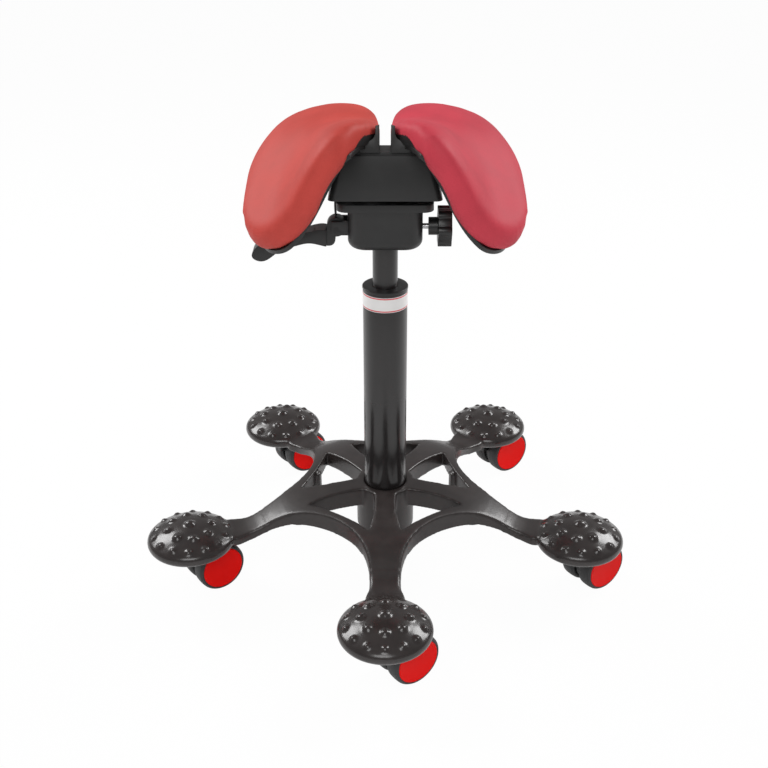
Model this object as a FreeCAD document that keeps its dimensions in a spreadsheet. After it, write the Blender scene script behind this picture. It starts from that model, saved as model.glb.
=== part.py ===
# Saddle stool: five-armed castor base, gas-spring column, tilting head and a two-wing saddle seat.
# Millimetres, +Z up, origin on the floor under the column, the seat's front towards -Y.
import FreeCAD, Part
import os
import re
from math import cos, exp, hypot, pi, sin, sqrt, tan

import Sketcher
from FreeCAD import Placement, Rotation, Vector

UP = Vector(0, 0, 1)
ACROSS = Vector(1, 0, 0)
ALONG = Vector(0, 1, 0)
ORIGIN = Vector(0, 0, 0)

# Driving dimensions: alias, size in millimetres (or a count or degrees), what it measures.
DRIVING = [
    ("arm_count", 5, "arms of the base"),
    ("arm_reach", 240, "column axis to a castor stem"),
    ("bay_centre", 208, "column axis to the centre of the round bay between two arms"),
    ("bay_radius", 106.5, "radius of that bay"),
    ("casting_wall", 4.5, "side walls of the casting"),
    ("casting_skin", 4, "top skin of the casting"),
    ("hub_top", 107.5, "top of the casting at the column"),
    ("rail_top", 104, "top of the casting at the rails"),
    ("shoulder_top", 95.5, "top of an arm where it starts to fall"),
    ("slope_top", 86, "top of an arm half way down"),
    ("neck_top", 75.5, "top of an arm at its neck"),
    ("rail_bottom", 83.5, "underside of the rails"),
    ("slope_bottom", 73.5, "underside of an arm half way down"),
    ("neck_bottom", 63.5, "underside of an arm at its neck"),
    ("shoulder_radius", 130, "where an arm starts to fall"),
    ("slope_radius", 150, "half way down"),
    ("neck_radius", 174, "where the neck begins"),
    ("opening_middle", 89.5, "column axis to the outer edge of an opening"),
    ("opening_tip_radius", 103, "column axis to an opening's outer tips"),
    ("opening_tip_offset", 19, "arm centre line to an opening's outer tip"),
    ("arm_half_width", 13.2, "arm centre line to an opening, near the hub"),
    ("lug_width", 9, "lug inside each rail"),
    ("lug_depth", 5, "how far a lug stands into the opening"),
    ("lug_drop", 7, "lug below the rail"),
    ("hub_radius", 34.5, "hub boss"),
    ("hub_bottom", 47, "underside of the hub boss"),
    ("dome_radius", 51, "studded dome, widest"),
    ("dome_level", 71, "height of its widest line"),
    ("dome_rise", 21, "widest line to its top"),
    ("dome_lip", 8, "roll of its lower edge"),
    ("dome_bore", 39, "hollow under the dome"),
    ("dome_shell", 5, "shell over the hollow"),
    ("socket_radius", 11, "boss round the stem socket"),
    ("stud_base", 6.8, "radius of the middle stud"),
    ("stud_rise", 4, "height of the middle stud"),
    ("inner_stud_base", 5.2, "studs of the inner ring"),
    ("inner_stud_rise", 3.2, "their height"),
    ("inner_stud_count", 8, "how many"),
    ("inner_stud_ring", 25.5, "radius of that ring"),
    ("outer_stud_base", 3.9, "studs of the outer ring"),
    ("outer_stud_rise", 2.5, "their height"),
    ("outer_stud_count", 14, "how many"),
    ("outer_stud_ring", 42, "radius of that ring"),
    ("wheel_radius", 30, "castor wheel"),
    ("wheel_width", 19, "one wheel"),
    ("wheel_gap", 8, "between the two wheels"),
    ("wheel_chamfer", 2.2, "edge of the tread"),
    ("wheel_rim", 5, "thickness of the tread ring"),
    ("wheel_hub", 8, "radius of the wheel's hub"),
    ("wheel_web", 3, "web of the wheel"),
    ("cap_radius", 25.6, "red cap"),
    ("cap_recess", 2, "how deep it sits"),
    ("cap_proud", 0.5, "how far it stands out"),
    ("axle_radius", 4, "castor axle"),
    ("castor_trail", 27, "stem axis to axle"),
    ("castor_heading", 36.7, "degrees from +X to the way the castors trail"),
    ("fork_radius", 25, "plate between the wheels"),
    ("fork_back", 8, "block over that plate, behind the stem axis"),
    ("fork_front", 20, "block over that plate, in front of the stem axis"),
    ("fork_low", 34, "underside of that block"),
    ("fork_high", 57, "top of that block"),
    ("fork_collar", 10, "collar under the stem"),
    ("collar_low", 55.6, "underside of the collar"),
    ("collar_high", 60.5, "top of the collar"),
    ("tail_level", 46, "lower end of the stem's tail"),
    ("shank_level", 57.5, "where the tail meets the stem"),
    ("stem_radius", 5.5, "castor stem"),
    ("stem_tail", 2.5, "its tail in the fork plate"),
    ("stem_flange", 8, "its flange"),
    ("stem_length", 23, "stem above the flange"),
    ("tube_radius", 25, "outer tube of the column"),
    ("tube_wall", 2, "its wall"),
    ("tube_top", 359, "its upper end"),
    ("tube_floor", 4, "its foot plate"),
    ("lip_height", 3, "lip of the guide bush above the tube"),
    ("lip_overhang", 0.7, "lip beyond the tube"),
    ("bush_length", 60, "guide bush inside the tube"),
    ("band_top", 356, "upper edge of the band"),
    ("band_height", 17.5, "height of the band"),
    ("band_thickness", 0.3, "thickness of the band"),
    ("cylinder_radius", 14, "gas cylinder"),
    ("cylinder_wall", 1.5, "its wall"),
    ("cylinder_bottom", 187, "its lower end"),
    ("cylinder_cap", 8, "its end caps"),
    ("rod_radius", 5, "piston rod"),
    ("rod_collar", 8, "collar on the bearing"),
    ("piston_level", 296, "top of the piston"),
    ("piston_height", 12, "piston"),
    ("washer_radius", 11, "thrust bearing washers"),
    ("washer_height", 1.2, "one washer"),
    ("ball_radius", 2, "bearing balls"),
    ("ball_count", 8, "how many"),
    ("clip_height", 1.4, "retaining clip"),
    ("housing_width", 81, "lower housing, across"),
    ("housing_depth", 58, "lower housing, front to back"),
    ("housing_round", 20, "its corners"),
    ("housing_edge", 9, "its lower rim"),
    ("housing_bottom", 411, "its underside"),
    ("flange_width", 103, "flange, across"),
    ("flange_depth", 72, "flange, front to back"),
    ("flange_round", 11, "its corners"),
    ("flange_bottom", 458, "underside of the flange"),
    ("flange_height", 8, "its thickness"),
    ("boss_radius", 18, "boss round the cylinder above the flange"),
    ("boss_height", 5, "its height"),
    ("cylinder_proud", 1, "cylinder above that boss"),
    ("ear_spacing", 60, "between the two pivot ears"),
    ("ear_thickness", 6, "one ear"),
    ("ear_half_width", 9, "ear, half its front-to-back width"),
    ("pivot_radius", 4, "tilt pivot pin"),
    ("pivot_back", 20, "pivot behind the column axis"),
    ("pivot_level", 486, "height of the pivot"),
    ("pivot_half_length", 55, "half the pivot pin's length"),
    ("cover_bottom", 473, "lower edge of the tilt housing"),
    ("cover_top", 520, "its top, at the front edge"),
    ("deck_fall", 11, "degrees that its top slopes down to the back"),
    ("cover_round", 7, "its upright corners"),
    ("cover_bottom_width", 120, "its width below"),
    ("cover_top_width", 96, "its width above"),
    ("cover_front", 44, "its front edge from the column axis"),
    ("cover_back", 58, "its back edge from the column axis"),
    ("cover_taper", 4, "how far front and back lean in"),
    ("cover_wall", 3.5, "its wall"),
    ("hatch_width", 56, "opening in its top"),
    ("hatch_front", 14, "top left in front of the opening"),
    ("hatch_length", 66, "length of the opening"),
    ("carrier_thickness", 3.5, "seat carrier plate"),
    ("carrier_width", 92, "its width"),
    ("carrier_length", 88, "its length"),
    ("carrier_set_back", 3, "its front edge behind that of the tilt housing"),
    ("screw_radius", 3, "carrier and pan screws"),
    ("screw_head", 5, "radius of their heads"),
    ("screw_head_height", 4, "height of their heads"),
    ("carrier_screw_offset", 35, "carrier screws from the middle plane"),
    ("carrier_screw_inset", 8, "carrier screws from the ends of the plate"),
    ("pan_screw_inset", 21, "pan screws from the ends of the plate"),
    ("pan_screw_bite", 6, "pan screws inside the beams"),
    ("pin_radius", 3, "release pin in the gas cylinder"),
    ("pin_head", 4.5, "its button"),
    ("pin_head_height", 3, "height of the button"),
    ("pin_proud", 8, "button's underside above the cylinder"),
    ("rocker_height", 6, "release rocker"),
    ("rocker_width", 12, "its width"),
    ("rocker_reach", 48, "its cable end from the column axis"),
    ("rocker_pivot", 16, "its pivot from the column axis"),
    ("small_pin_radius", 2.5, "pins of the rocker and the lever"),
    ("cheek", 4, "cheeks that hold those pins"),
    ("lever_pivot_out", 53, "lever pivot from the middle plane"),
    ("lever_pivot_level", 432, "height of the lever pivot"),
    ("lever_hub", 10.5, "lever hub radius"),
    ("lever_hub_width", 16, "lever hub, front to back"),
    ("lever_width", 22, "paddle, front to back"),
    ("lever_reach", 145, "paddle tip from the middle plane"),
    ("paddle_start", 64, "where the paddle begins, from the middle plane"),
    ("cable_radius", 1.25, "cable"),
    ("knob_level", 431, "height of the knob"),
    ("spindle_radius", 3, "knob spindle"),
    ("knob_start", 47, "knob from the middle plane"),
    ("knob_neck", 9.8, "radius of the knob's neck"),
    ("knob_neck_length", 10, "length of the neck"),
    ("knob_radius", 19.5, "knob between its lobes"),
    ("knob_lobe", 6, "radius of a lobe"),
    ("knob_lobes", 6, "how many"),
    ("knob_thickness", 15, "thickness of the knob"),
    ("seat_front", 105, "front of the pads from the column axis"),
    ("seat_back", 122, "back of the pads from the column axis"),
    ("seat_gap", 10, "between the two pads"),
    ("seat_half_width", 160, "middle plane to the outer edge"),
    ("wing_middle", 75, "middle plane to the tips of a pad's outline"),
    ("pommel_rise", 49, "ridge at the front, above the tilt housing's top"),
    ("cantle_rise", 20, "ridge at the back, above the tilt housing's top"),
    ("thigh_drop", 122, "fall of the front flank"),
    ("thigh_middle", 88, "where that flank is steepest"),
    ("thigh_softness", 15, "how gently it turns"),
    ("hip_drop", 75, "fall of the back flank"),
    ("hip_start", 20, "where the back flank starts to fall"),
    ("pad_thickness", 27, "seat pad"),
    ("pan_thickness", 4.5, "seat pan"),
    ("beam_width", 20, "beam under each pan"),
    ("beam_front", 42, "its front end from the column axis"),
    ("beam_length", 92, "its length"),
    ("beam_start", 6, "middle plane to its inner side"),
    ("running_clearance", 0.05, "radial, shaft in a bearing"),
    ("press_clearance", 0.02, "radial, fixed fit"),
    ("rest_clearance", 1.2, "pad over pan"),
    ("slack", 0.3, "free faces beside each other"),
]

# Sizes that follow from those: alias, formula, what it measures.
DERIVED = [
    ("plate_low", "hub_bottom + 5 * slack", "underside of the tube's foot plate"),
    ("plate_high", "plate_low + tube_floor", "its top"),
    ("tube_bore", "tube_radius - tube_wall", "bore of the outer tube"),
    ("rod_bore", "rod_radius + running_clearance", "holes that the piston rod passes"),
    ("upper_washer", "plate_high + washer_height + 2 * ball_radius", "underside of the upper washer"),
    ("rod_collar_level", "upper_washer + washer_height", "underside of the rod's collar"),
    ("clip_low", "plate_low - clip_height - running_clearance", "underside of the clip"),
    ("clip_high", "plate_low - running_clearance", "its top"),
    ("clip_groove", "rod_radius - 1", "groove that it snaps into"),
    ("bush_low", "tube_top - bush_length", "lower end of the guide bush"),
    ("bush_bore", "cylinder_radius + running_clearance", "its bore"),
    ("bush_outer", "tube_bore - press_clearance", "its outside"),
    ("bush_lip", "tube_radius + lip_overhang", "its lip"),
    ("lip_top", "tube_top + lip_height", "top of that lip"),
    ("band_low", "band_top - band_height", "lower edge of the band"),
    ("band_inner", "tube_radius + press_clearance", "inside of the band"),
    ("band_outer", "band_inner + band_thickness", "outside of the band"),
    ("cylinder_bore", "cylinder_radius - cylinder_wall", "bore of the gas cylinder"),
    ("piston_radius", "cylinder_bore - running_clearance", "piston"),
    ("piston_low", "piston_level - piston_height", "underside of the piston"),
    ("boss_top", "flange_bottom + flange_height + boss_height", "top of the boss on the flange"),
    ("cylinder_top", "boss_top + cylinder_proud", "top of the gas cylinder"),
    ("upper_cap", "cylinder_top - cylinder_cap", "underside of its upper cap"),
    ("lower_cap", "cylinder_bottom + cylinder_cap", "top of its lower cap"),
    ("pin_bore", "pin_radius + running_clearance", "hole for the release pin"),
    ("pin_low", "upper_cap - 2", "lower end of the release pin"),
    ("button_low", "cylinder_top + pin_proud", "underside of its button"),
    ("button_high", "button_low + pin_head_height", "top of its button"),
    ("rocker_low", "button_high + slack", "underside of the rocker"),
    ("rocker_level", "rocker_low + rocker_height / 2", "pin of the rocker"),
    ("rocker_edge", "rocker_width / 2 + slack", "inner faces of the rocker's cheeks"),
    ("lever_edge", "lever_hub_width / 2 + slack", "inner faces of the lever's cheeks"),
    ("small_bore", "small_pin_radius + press_clearance", "holes that hold the small pins"),
    ("small_round", "small_pin_radius + 2.5", "half width of a cheek"),
    ("cheek_root", "flange_bottom + flange_height / 2", "where ears and cheeks start"),
    ("stem_top", "dome_level - dome_lip - 2 * slack", "top of the castor stem's flange"),
    ("cap_floor", "wheel_width - cap_recess", "bottom of the wheel's recess"),
    ("cap_bore", "cap_radius + press_clearance", "radius of that recess"),
    ("wheel_bore", "axle_radius + running_clearance", "bore of a wheel"),
    ("tread_inner", "wheel_radius - wheel_rim", "inside of the tread ring"),
    ("knob_disc", "knob_start + knob_neck_length", "where the knob's disc begins"),
    ("knob_end", "knob_disc + knob_thickness", "outer face of the knob"),
    ("spindle_start", "housing_width / 2 - 7", "inner end of the spindle"),
    ("pommel_top", "cover_top + pommel_rise", "level of the ridge at the front"),
    ("cantle_top", "cover_top + cantle_rise", "level of the ridge at the back"),
    ("deck_drop", "tan(deck_fall)", "fall of the tilt housing's top for each millimetre to the back"),
]

doc = FreeCAD.newDocument("SaddleStool")
sheet = doc.addObject("Spreadsheet::Sheet", "Sizes")
for row, (alias, content, meaning) in enumerate(DRIVING + DERIVED, start=1):
    sheet.set(f"A{row}", str(content) if row <= len(DRIVING) else "=" + content)
    sheet.setAlias(f"A{row}", alias)
    sheet.set(f"B{row}", meaning)
    if row == len(DRIVING):
        doc.recompute()
doc.recompute()

nodes = {}


def size(alias):
    """The number in the sheet's cell of that alias."""
    return float(sheet.get(alias))


def count(alias):
    return int(sheet.get(alias))


def bind(thing, **expressions):
    """Bind properties to the sheet; base_z means Placement.Base.z."""
    for name, words in expressions.items():
        path = "Placement.Base." + name[-1] if name.startswith("base_") else name
        thing.setExpression(path, re.sub("[a-z_]+", r"Sizes.\g<0>", words))
    return thing


def keep(node, thing):
    """Take thing as the sub-part that is written under this name."""
    thing.Label = node
    nodes[node] = thing
    return thing


def cylinder(name, radius, height, direction=UP, **place):
    thing = doc.addObject("Part::Cylinder", name)
    thing.Placement = Placement(ORIGIN, Rotation(UP, direction))
    return bind(thing, Radius=radius, Height=height, **place)


def box(name, length, width, height, **place):
    return bind(doc.addObject("Part::Box", name), Length=length, Width=width, Height=height, **place)


def fused(name, *shapes):
    thing = doc.addObject("Part::MultiFuse", name)
    thing.Shapes = list(shapes)
    return thing


def cut(name, base, *tools):
    thing = doc.addObject("Part::Cut", name)
    thing.Base = base
    thing.Tool = tools[0] if len(tools) == 1 else fused(name + "_tools", *tools)
    return thing


def origin_plane(body, role):
    return next(plane for plane in body.Origin.OriginFeatures if plane.Role == role)


def turned(name, outline):
    """A body turned about Z; outline holds (radius, height) in words of the sheet."""
    body = doc.addObject("PartDesign::Body", name)
    sketch = body.newObject("Sketcher::SketchObject", name + "_outline")
    sketch.AttachmentSupport = (origin_plane(body, "XZ_Plane"), [""])
    sketch.MapMode = "FlatFace"
    corners = len(outline)
    start = [
        Vector(5 + 3 * cos(2 * pi * i / corners - 2.4), 5 + 3 * sin(2 * pi * i / corners - 2.4), 0)
        for i in range(corners)
    ]
    for i in range(corners):
        sketch.addGeometry(Part.LineSegment(start[i], start[(i + 1) % corners]))
    for i in range(corners):
        sketch.addConstraint(Sketcher.Constraint("Coincident", i, 2, (i + 1) % corners, 1))
    for i, words in enumerate(outline):
        for kind, first, at in (("DistanceX", words[0], start[i].x), ("DistanceY", words[1], start[i].y)):
            index = sketch.addConstraint(Sketcher.Constraint(kind, -1, 1, i, 1, at))
            bind(sketch, **{f"Constraints[{index}]": first})
    turn = body.newObject("PartDesign::Revolution", name + "_turn")
    turn.Profile = sketch
    turn.ReferenceAxis = (sketch, ["V_Axis"])
    turn.Angle = 360
    body.Tip = turn
    return body


def rounded_block(name, length, width, height, radius, edge=None, **place):
    """A block with round upright edges and, with edge, a round lower rim, centred on its Z axis."""
    body = doc.addObject("PartDesign::Body", name)
    block = body.newObject("PartDesign::AdditiveBox", name + "_block")
    bind(block, Length=length, Width=width, Height=height)
    bind(block, base_x=f"-1 * {length} / 2", base_y=f"-1 * {width} / 2")
    doc.recompute()
    upright = [
        f"Edge{i}" for i, edge in enumerate(block.Shape.Edges, start=1)
        if abs(edge.tangentAt(edge.FirstParameter).z) > 0.5
    ]
    fillet = body.newObject("PartDesign::Fillet", name + "_fillet")
    fillet.Base = (block, upright)
    bind(fillet, Radius=radius)
    if edge:
        doc.recompute()
        rim = [f"Edge{i}" for i, side in enumerate(fillet.Shape.Edges, start=1) if side.BoundBox.ZMax < 0.01]
        roll = body.newObject("PartDesign::Fillet", name + "_rim")
        roll.Base = (fillet, rim)
        bind(roll, Radius=edge)
        fillet = roll
    body.Tip = fillet
    return bind(body, **place)


def solid(name, shape, placement=None):
    """A free shape, or a copy of a master piece, as a feature of the document."""
    thing = doc.addObject("Part::Feature", name)
    thing.Shape = shape
    if placement is not None:
        thing.Placement = placement
    return thing


def face_turned(edges):
    """The solid that a closed outline in the XZ plane sweeps about Z."""
    return Part.Face(Part.Wire(edges)).revolve(ORIGIN, UP, 360)


def line(a, b):
    return Part.LineSegment(a, b).toShape()


def curve(points):
    spline = Part.BSplineCurve()
    spline.interpolate(points)
    return spline.toShape()


def level_curve(points):
    """A smooth curve through the points that starts and ends level; two points give a line."""
    if len(points) == 2:
        return line(*points)
    spline = Part.BSplineCurve()
    spline.interpolate(points, InitialTangent=ACROSS, FinalTangent=ACROSS)
    return spline.toShape()


def turned_copy(shape, angle):
    copy = shape.copy()
    copy.rotate(ORIGIN, UP, angle)
    return copy


def arm_angle(share):
    """Degrees from +X to arm number share, the first towards the front; a half is a bay's middle."""
    return -90 + 360 * share / count("arm_count")


def round_column(shape, share):
    """Copies of the shape on every arm, or with share one half in every bay."""
    return [turned_copy(shape, arm_angle(i + share)) for i in range(count("arm_count"))]


# Base casting

def casting_top(drop):
    """Points of the casting's top line from its axis to the neck, lowered by drop."""
    line_points = [
        (0, "hub_top"), (size("hub_radius"), "hub_top"),
        (size("opening_middle") + size("casting_wall"), "rail_top"),
        (size("shoulder_radius"), "shoulder_top"), (size("slope_radius"), "slope_top"),
        (size("neck_radius"), "neck_top"),
    ]
    return [Vector(radius, 0, size(level) - drop) for radius, level in line_points]


def casting_bottom():
    """Points of the casting's lower line from its axis to the neck."""
    points = [
        (0, "rail_bottom"), (size("hub_radius"), "rail_bottom"),
        (size("bay_centre") - size("bay_radius"), "rail_bottom"),
        (size("slope_radius"), "slope_bottom"), (size("neck_radius"), "neck_bottom"),
    ]
    return [Vector(radius, 0, size(level)) for radius, level in points]


def turned_between(top, bottom):
    """The solid between two lines, each run on level to the foot's axis."""
    top_end = Vector(size("arm_reach"), 0, top[-1].z)
    bottom_end = Vector(size("arm_reach"), 0, bottom[-1].z)
    return face_turned([
        level_curve(top), line(top[-1], top_end), line(top_end, bottom_end),
        line(bottom_end, bottom[-1]), level_curve(bottom), line(bottom[0], top[0]),
    ])


def on_arm(along, offset):
    """A point beside an arm, in the frame of the bay next to it, whose axis is +X."""
    half = pi / count("arm_count")
    return Vector(along * cos(half) + offset * sin(half), along * sin(half) - offset * cos(half), 0)


def opening_prism(grow):
    """One three-cornered opening about the bay's axis, grown outwards by grow, full height."""
    def mirrored(point):
        return Vector(point.x, -point.y, 0)

    reach = size("opening_tip_radius")
    offset = size("opening_tip_offset")
    near = on_arm(sqrt(size("hub_radius") ** 2 - size("arm_half_width") ** 2), size("arm_half_width"))
    flank = on_arm((size("hub_radius") + reach) / 2, size("arm_half_width"))
    tip = on_arm(sqrt(reach ** 2 - offset ** 2), offset)
    edges = [
        Part.Arc(near, flank, tip).toShape(),
        Part.Arc(tip, Vector(size("opening_middle"), 0, 0), mirrored(tip)).toShape(),
        Part.Arc(mirrored(tip), mirrored(flank), mirrored(near)).toShape(),
        Part.Arc(mirrored(near), Vector(size("hub_radius"), 0, 0), near).toShape(),
    ]
    wire = Part.Wire(edges)
    if grow:
        wire = wire.makeOffset2D(grow, 2)
    return Part.Face(wire).extrude(UP * (size("hub_top") * 2))


def bay_cylinder(grow):
    return Part.makeCylinder(size("bay_radius") + grow, size("hub_top") * 2, Vector(size("bay_centre"), 0, 0))


def lug():
    """The lug on the inner side of one rail, about the bay's axis."""
    low = size("rail_bottom") - size("lug_drop")
    start = size("opening_middle") - size("lug_depth")
    depth = size("lug_depth") + size("casting_wall")
    corner = Vector(start, -size("lug_width") / 2, low)
    return Part.makeBox(depth, size("lug_width"), size("rail_top") - size("casting_skin") - low, corner)


def crown(radius, rise, edge):
    """Radius of the ball that tops a dome whose edge is rolled with the radius edge."""
    return ((radius - edge) ** 2 + rise ** 2 - edge ** 2) / (2 * (rise - edge))


def dome_solid():
    """Dome about its stem axis: a shallow ball on a rolled edge, with its studs."""
    level = size("dome_level")
    rise = size("dome_rise")
    radius = size("dome_radius")
    lip = size("dome_lip")
    ball = crown(radius, rise, lip)
    heart = Vector(0, 0, level + rise - ball)
    foot = Vector(radius - lip, 0, level)
    touch = heart + (foot - heart).normalize() * ball
    half_way = heart + (touch - heart + UP * ball).normalize() * ball
    bottom = Vector(0, 0, level - lip)
    dome = face_turned([
        Part.Arc(touch, half_way, heart + UP * ball).toShape(),
        line(heart + UP * ball, bottom), line(bottom, foot - UP * lip),
        Part.Arc(foot - UP * lip, foot + ACROSS * lip, touch).toShape(),
    ])
    rings = [
        (1, 0, size("stud_base"), size("stud_rise")),
        (count("inner_stud_count"), size("inner_stud_ring"), size("inner_stud_base"), size("inner_stud_rise")),
        (count("outer_stud_count"), size("outer_stud_ring"), size("outer_stud_base"), size("outer_stud_rise")),
    ]
    studs = []
    for copies, out, base, stand in rings:
        normal = Vector(out, 0, sqrt(ball ** 2 - out ** 2)) / ball
        stud_ball = (base ** 2 + stand ** 2) / (2 * stand)
        stud = Part.makeSphere(stud_ball, heart + normal * (ball + stand - stud_ball))
        studs += [turned_copy(stud, 360 * i / copies) for i in range(copies)]
    return dome.fuse(studs)


def dome_hollow():
    """The hollow under a dome, round its socket boss, and the socket itself."""
    level = size("dome_level")
    bore = size("dome_bore")
    depth = size("dome_rise") - size("dome_shell")
    ball = crown(size("dome_radius"), size("dome_rise"), size("dome_lip")) - size("dome_shell")
    hollow = Part.makeCylinder(bore, level + depth).common(
        Part.makeSphere(ball, Vector(0, 0, level + depth - ball)))
    foot = level - size("dome_lip") - size("slack")
    boss = Part.makeCylinder(size("socket_radius"), level, Vector(0, 0, foot))
    socket_radius = size("stem_radius") + size("running_clearance")
    socket_height = size("stem_top") + size("stem_length") + size("slack")
    socket = Part.makeCylinder(socket_radius, socket_height)
    return hollow.cut(boss).fuse(socket)


def base_casting():
    wall = size("casting_wall")
    bays = round_column(bay_cylinder(0), 0.5)
    walls = round_column(bay_cylinder(wall), 0.5) + round_column(opening_prism(wall), 0.5)
    openings = round_column(opening_prism(0), 0.5)
    lugs = round_column(lug(), 0.5)
    place = Placement(ACROSS * size("arm_reach"), Rotation())

    plate = turned_between(casting_top(0), casting_bottom()).cut(bays)
    hollow_end = size("arm_reach") - size("dome_radius") - size("casting_wall")
    hollow = turned_between(casting_top(size("casting_skin")), [ORIGIN, ACROSS * size("neck_radius")])
    hollow = hollow.common(Part.makeCylinder(hollow_end, size("hub_top") * 2))
    hub = Part.makeCylinder(
        size("hub_radius"), size("hub_top") - size("hub_bottom"), Vector(0, 0, size("hub_bottom")))
    hollow = hollow.cut(walls + [hub])
    star = plate.cut(hollow).cut(openings).fuse([hub] + lugs)

    dome = dome_solid()
    dome.Placement = place
    hollow_dome = dome_hollow()
    hollow_dome.Placement = place
    domes = round_column(dome, 0)
    hollows = round_column(hollow_dome, 0)
    bore = Part.makeCylinder(size("tube_radius") + size("press_clearance"), size("hub_top") * 2)
    return star.fuse(domes).cut(hollows + [bore]).removeSplitter()


keep("base_casting", solid("BaseCasting", base_casting()))


# Column: outer tube, guide bush in its mouth, and the band round it

keep("outer_tube", turned("OuterTube", [
    ("rod_bore", "plate_low"), ("tube_bore", "plate_low"), ("tube_bore", "hub_bottom"),
    ("tube_radius", "hub_bottom"), ("tube_radius", "tube_top"), ("tube_bore", "tube_top"),
    ("tube_bore", "plate_high"), ("rod_bore", "plate_high"),
]))
keep("guide_bush", turned("GuideBush", [
    ("bush_bore", "bush_low"), ("bush_outer", "bush_low"), ("bush_outer", "tube_top"),
    ("bush_lip", "tube_top"), ("bush_lip", "lip_top - 1"), ("bush_lip - 1", "lip_top"),
    ("bush_bore", "lip_top"),
]))
keep("column_band", turned("ColumnBand", [
    ("band_inner", "band_low"), ("band_outer", "band_low"), ("band_outer", "band_top"),
    ("band_inner", "band_top"),
]))


# Piston rod, turning on a thrust bearing on the tube's foot plate

def washer(name, level):
    return turned(name, [
        ("rod_bore", level), ("washer_radius", level), ("washer_radius", level + " + washer_height"),
        ("rod_bore", level + " + washer_height"),
    ])


def bearing_balls():
    """Balls between the washers, round the rod."""
    ring = (size("rod_radius") + size("washer_radius")) / 2
    level = size("plate_high") + size("washer_height") + size("ball_radius")
    ball = Part.makeSphere(size("ball_radius"), Vector(ring, 0, level))
    return [turned_copy(ball, 360 * i / count("ball_count")) for i in range(count("ball_count"))]


washers = [washer("LowerWasher", "plate_high"), washer("UpperWasher", "upper_washer")]
doc.recompute()
keep("thrust_bearing", solid(
    "ThrustBearing", Part.makeCompound([ring.Shape for ring in washers] + bearing_balls())))
keep("piston_rod", turned("PistonRod", [
    ("0", "clip_low - clip_height"), ("rod_radius", "clip_low - clip_height"),
    ("rod_radius", "clip_low"), ("clip_groove", "clip_low"), ("clip_groove", "clip_high"),
    ("rod_radius", "clip_high"), ("rod_radius", "rod_collar_level"), ("rod_collar", "rod_collar_level"),
    ("rod_collar", "rod_collar_level + 3"), ("rod_radius", "rod_collar_level + 3"),
    ("rod_radius", "piston_low"), ("piston_radius", "piston_low"), ("piston_radius", "piston_level"),
    ("0", "piston_level"),
]))
keep("retaining_clip", turned("RetainingClip", [
    ("clip_groove + press_clearance", "clip_low"), ("rod_collar", "clip_low"),
    ("rod_collar", "clip_high"), ("clip_groove + press_clearance", "clip_high"),
]))


# Gas cylinder and the release pin in its top

keep("gas_cylinder", turned("GasCylinder", [
    ("rod_bore", "cylinder_bottom"), ("cylinder_radius", "cylinder_bottom"),
    ("cylinder_radius", "cylinder_top"), ("pin_bore", "cylinder_top"), ("pin_bore", "upper_cap"),
    ("cylinder_bore", "upper_cap"), ("cylinder_bore", "lower_cap"), ("rod_bore", "lower_cap"),
]))
keep("release_pin", turned("ReleasePin", [
    ("0", "pin_low"), ("pin_radius", "pin_low"), ("pin_radius", "button_low"), ("pin_head", "button_low"),
    ("pin_head", "button_high"), ("0", "button_high"),
]))


# Lower housing: cup, flange, boss, ears of the tilt pivot, cheeks of the small pins

def ear(side, start):
    return box(
        "Ear" + side, "ear_thickness", "2 * ear_half_width", "pivot_level + ear_half_width - cheek_root",
        base_x=start, base_y="pivot_back - ear_half_width", base_z="cheek_root")


def rocker_cheek(side, start):
    return box(
        "RockerCheek" + side, "2 * small_round", "cheek", "rocker_level + small_round - cheek_root",
        base_x="rocker_pivot - small_round", base_y=start, base_z="cheek_root")


def lever_cheek(side, start):
    return box(
        "LeverCheek" + side, "lever_pivot_out + small_round - housing_width / 2 + cheek / 2", "cheek",
        "3 * small_round", base_x="-1 * (lever_pivot_out + small_round)", base_y=start,
        base_z="lever_pivot_level - 1.5 * small_round")


def small_pin(name, edge, **place):
    """A pin between two cheeks, ending flush with their outer faces."""
    return cylinder(
        name, "small_pin_radius", f"2 * ({edge} + cheek)", ALONG, base_y=f"-1 * ({edge} + cheek)", **place)


def small_hole(name, edge, **place):
    return cylinder(
        name, "small_bore", f"2 * ({edge} + 2 * cheek)", ALONG, base_y=f"-1 * ({edge} + 2 * cheek)", **place)


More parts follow.
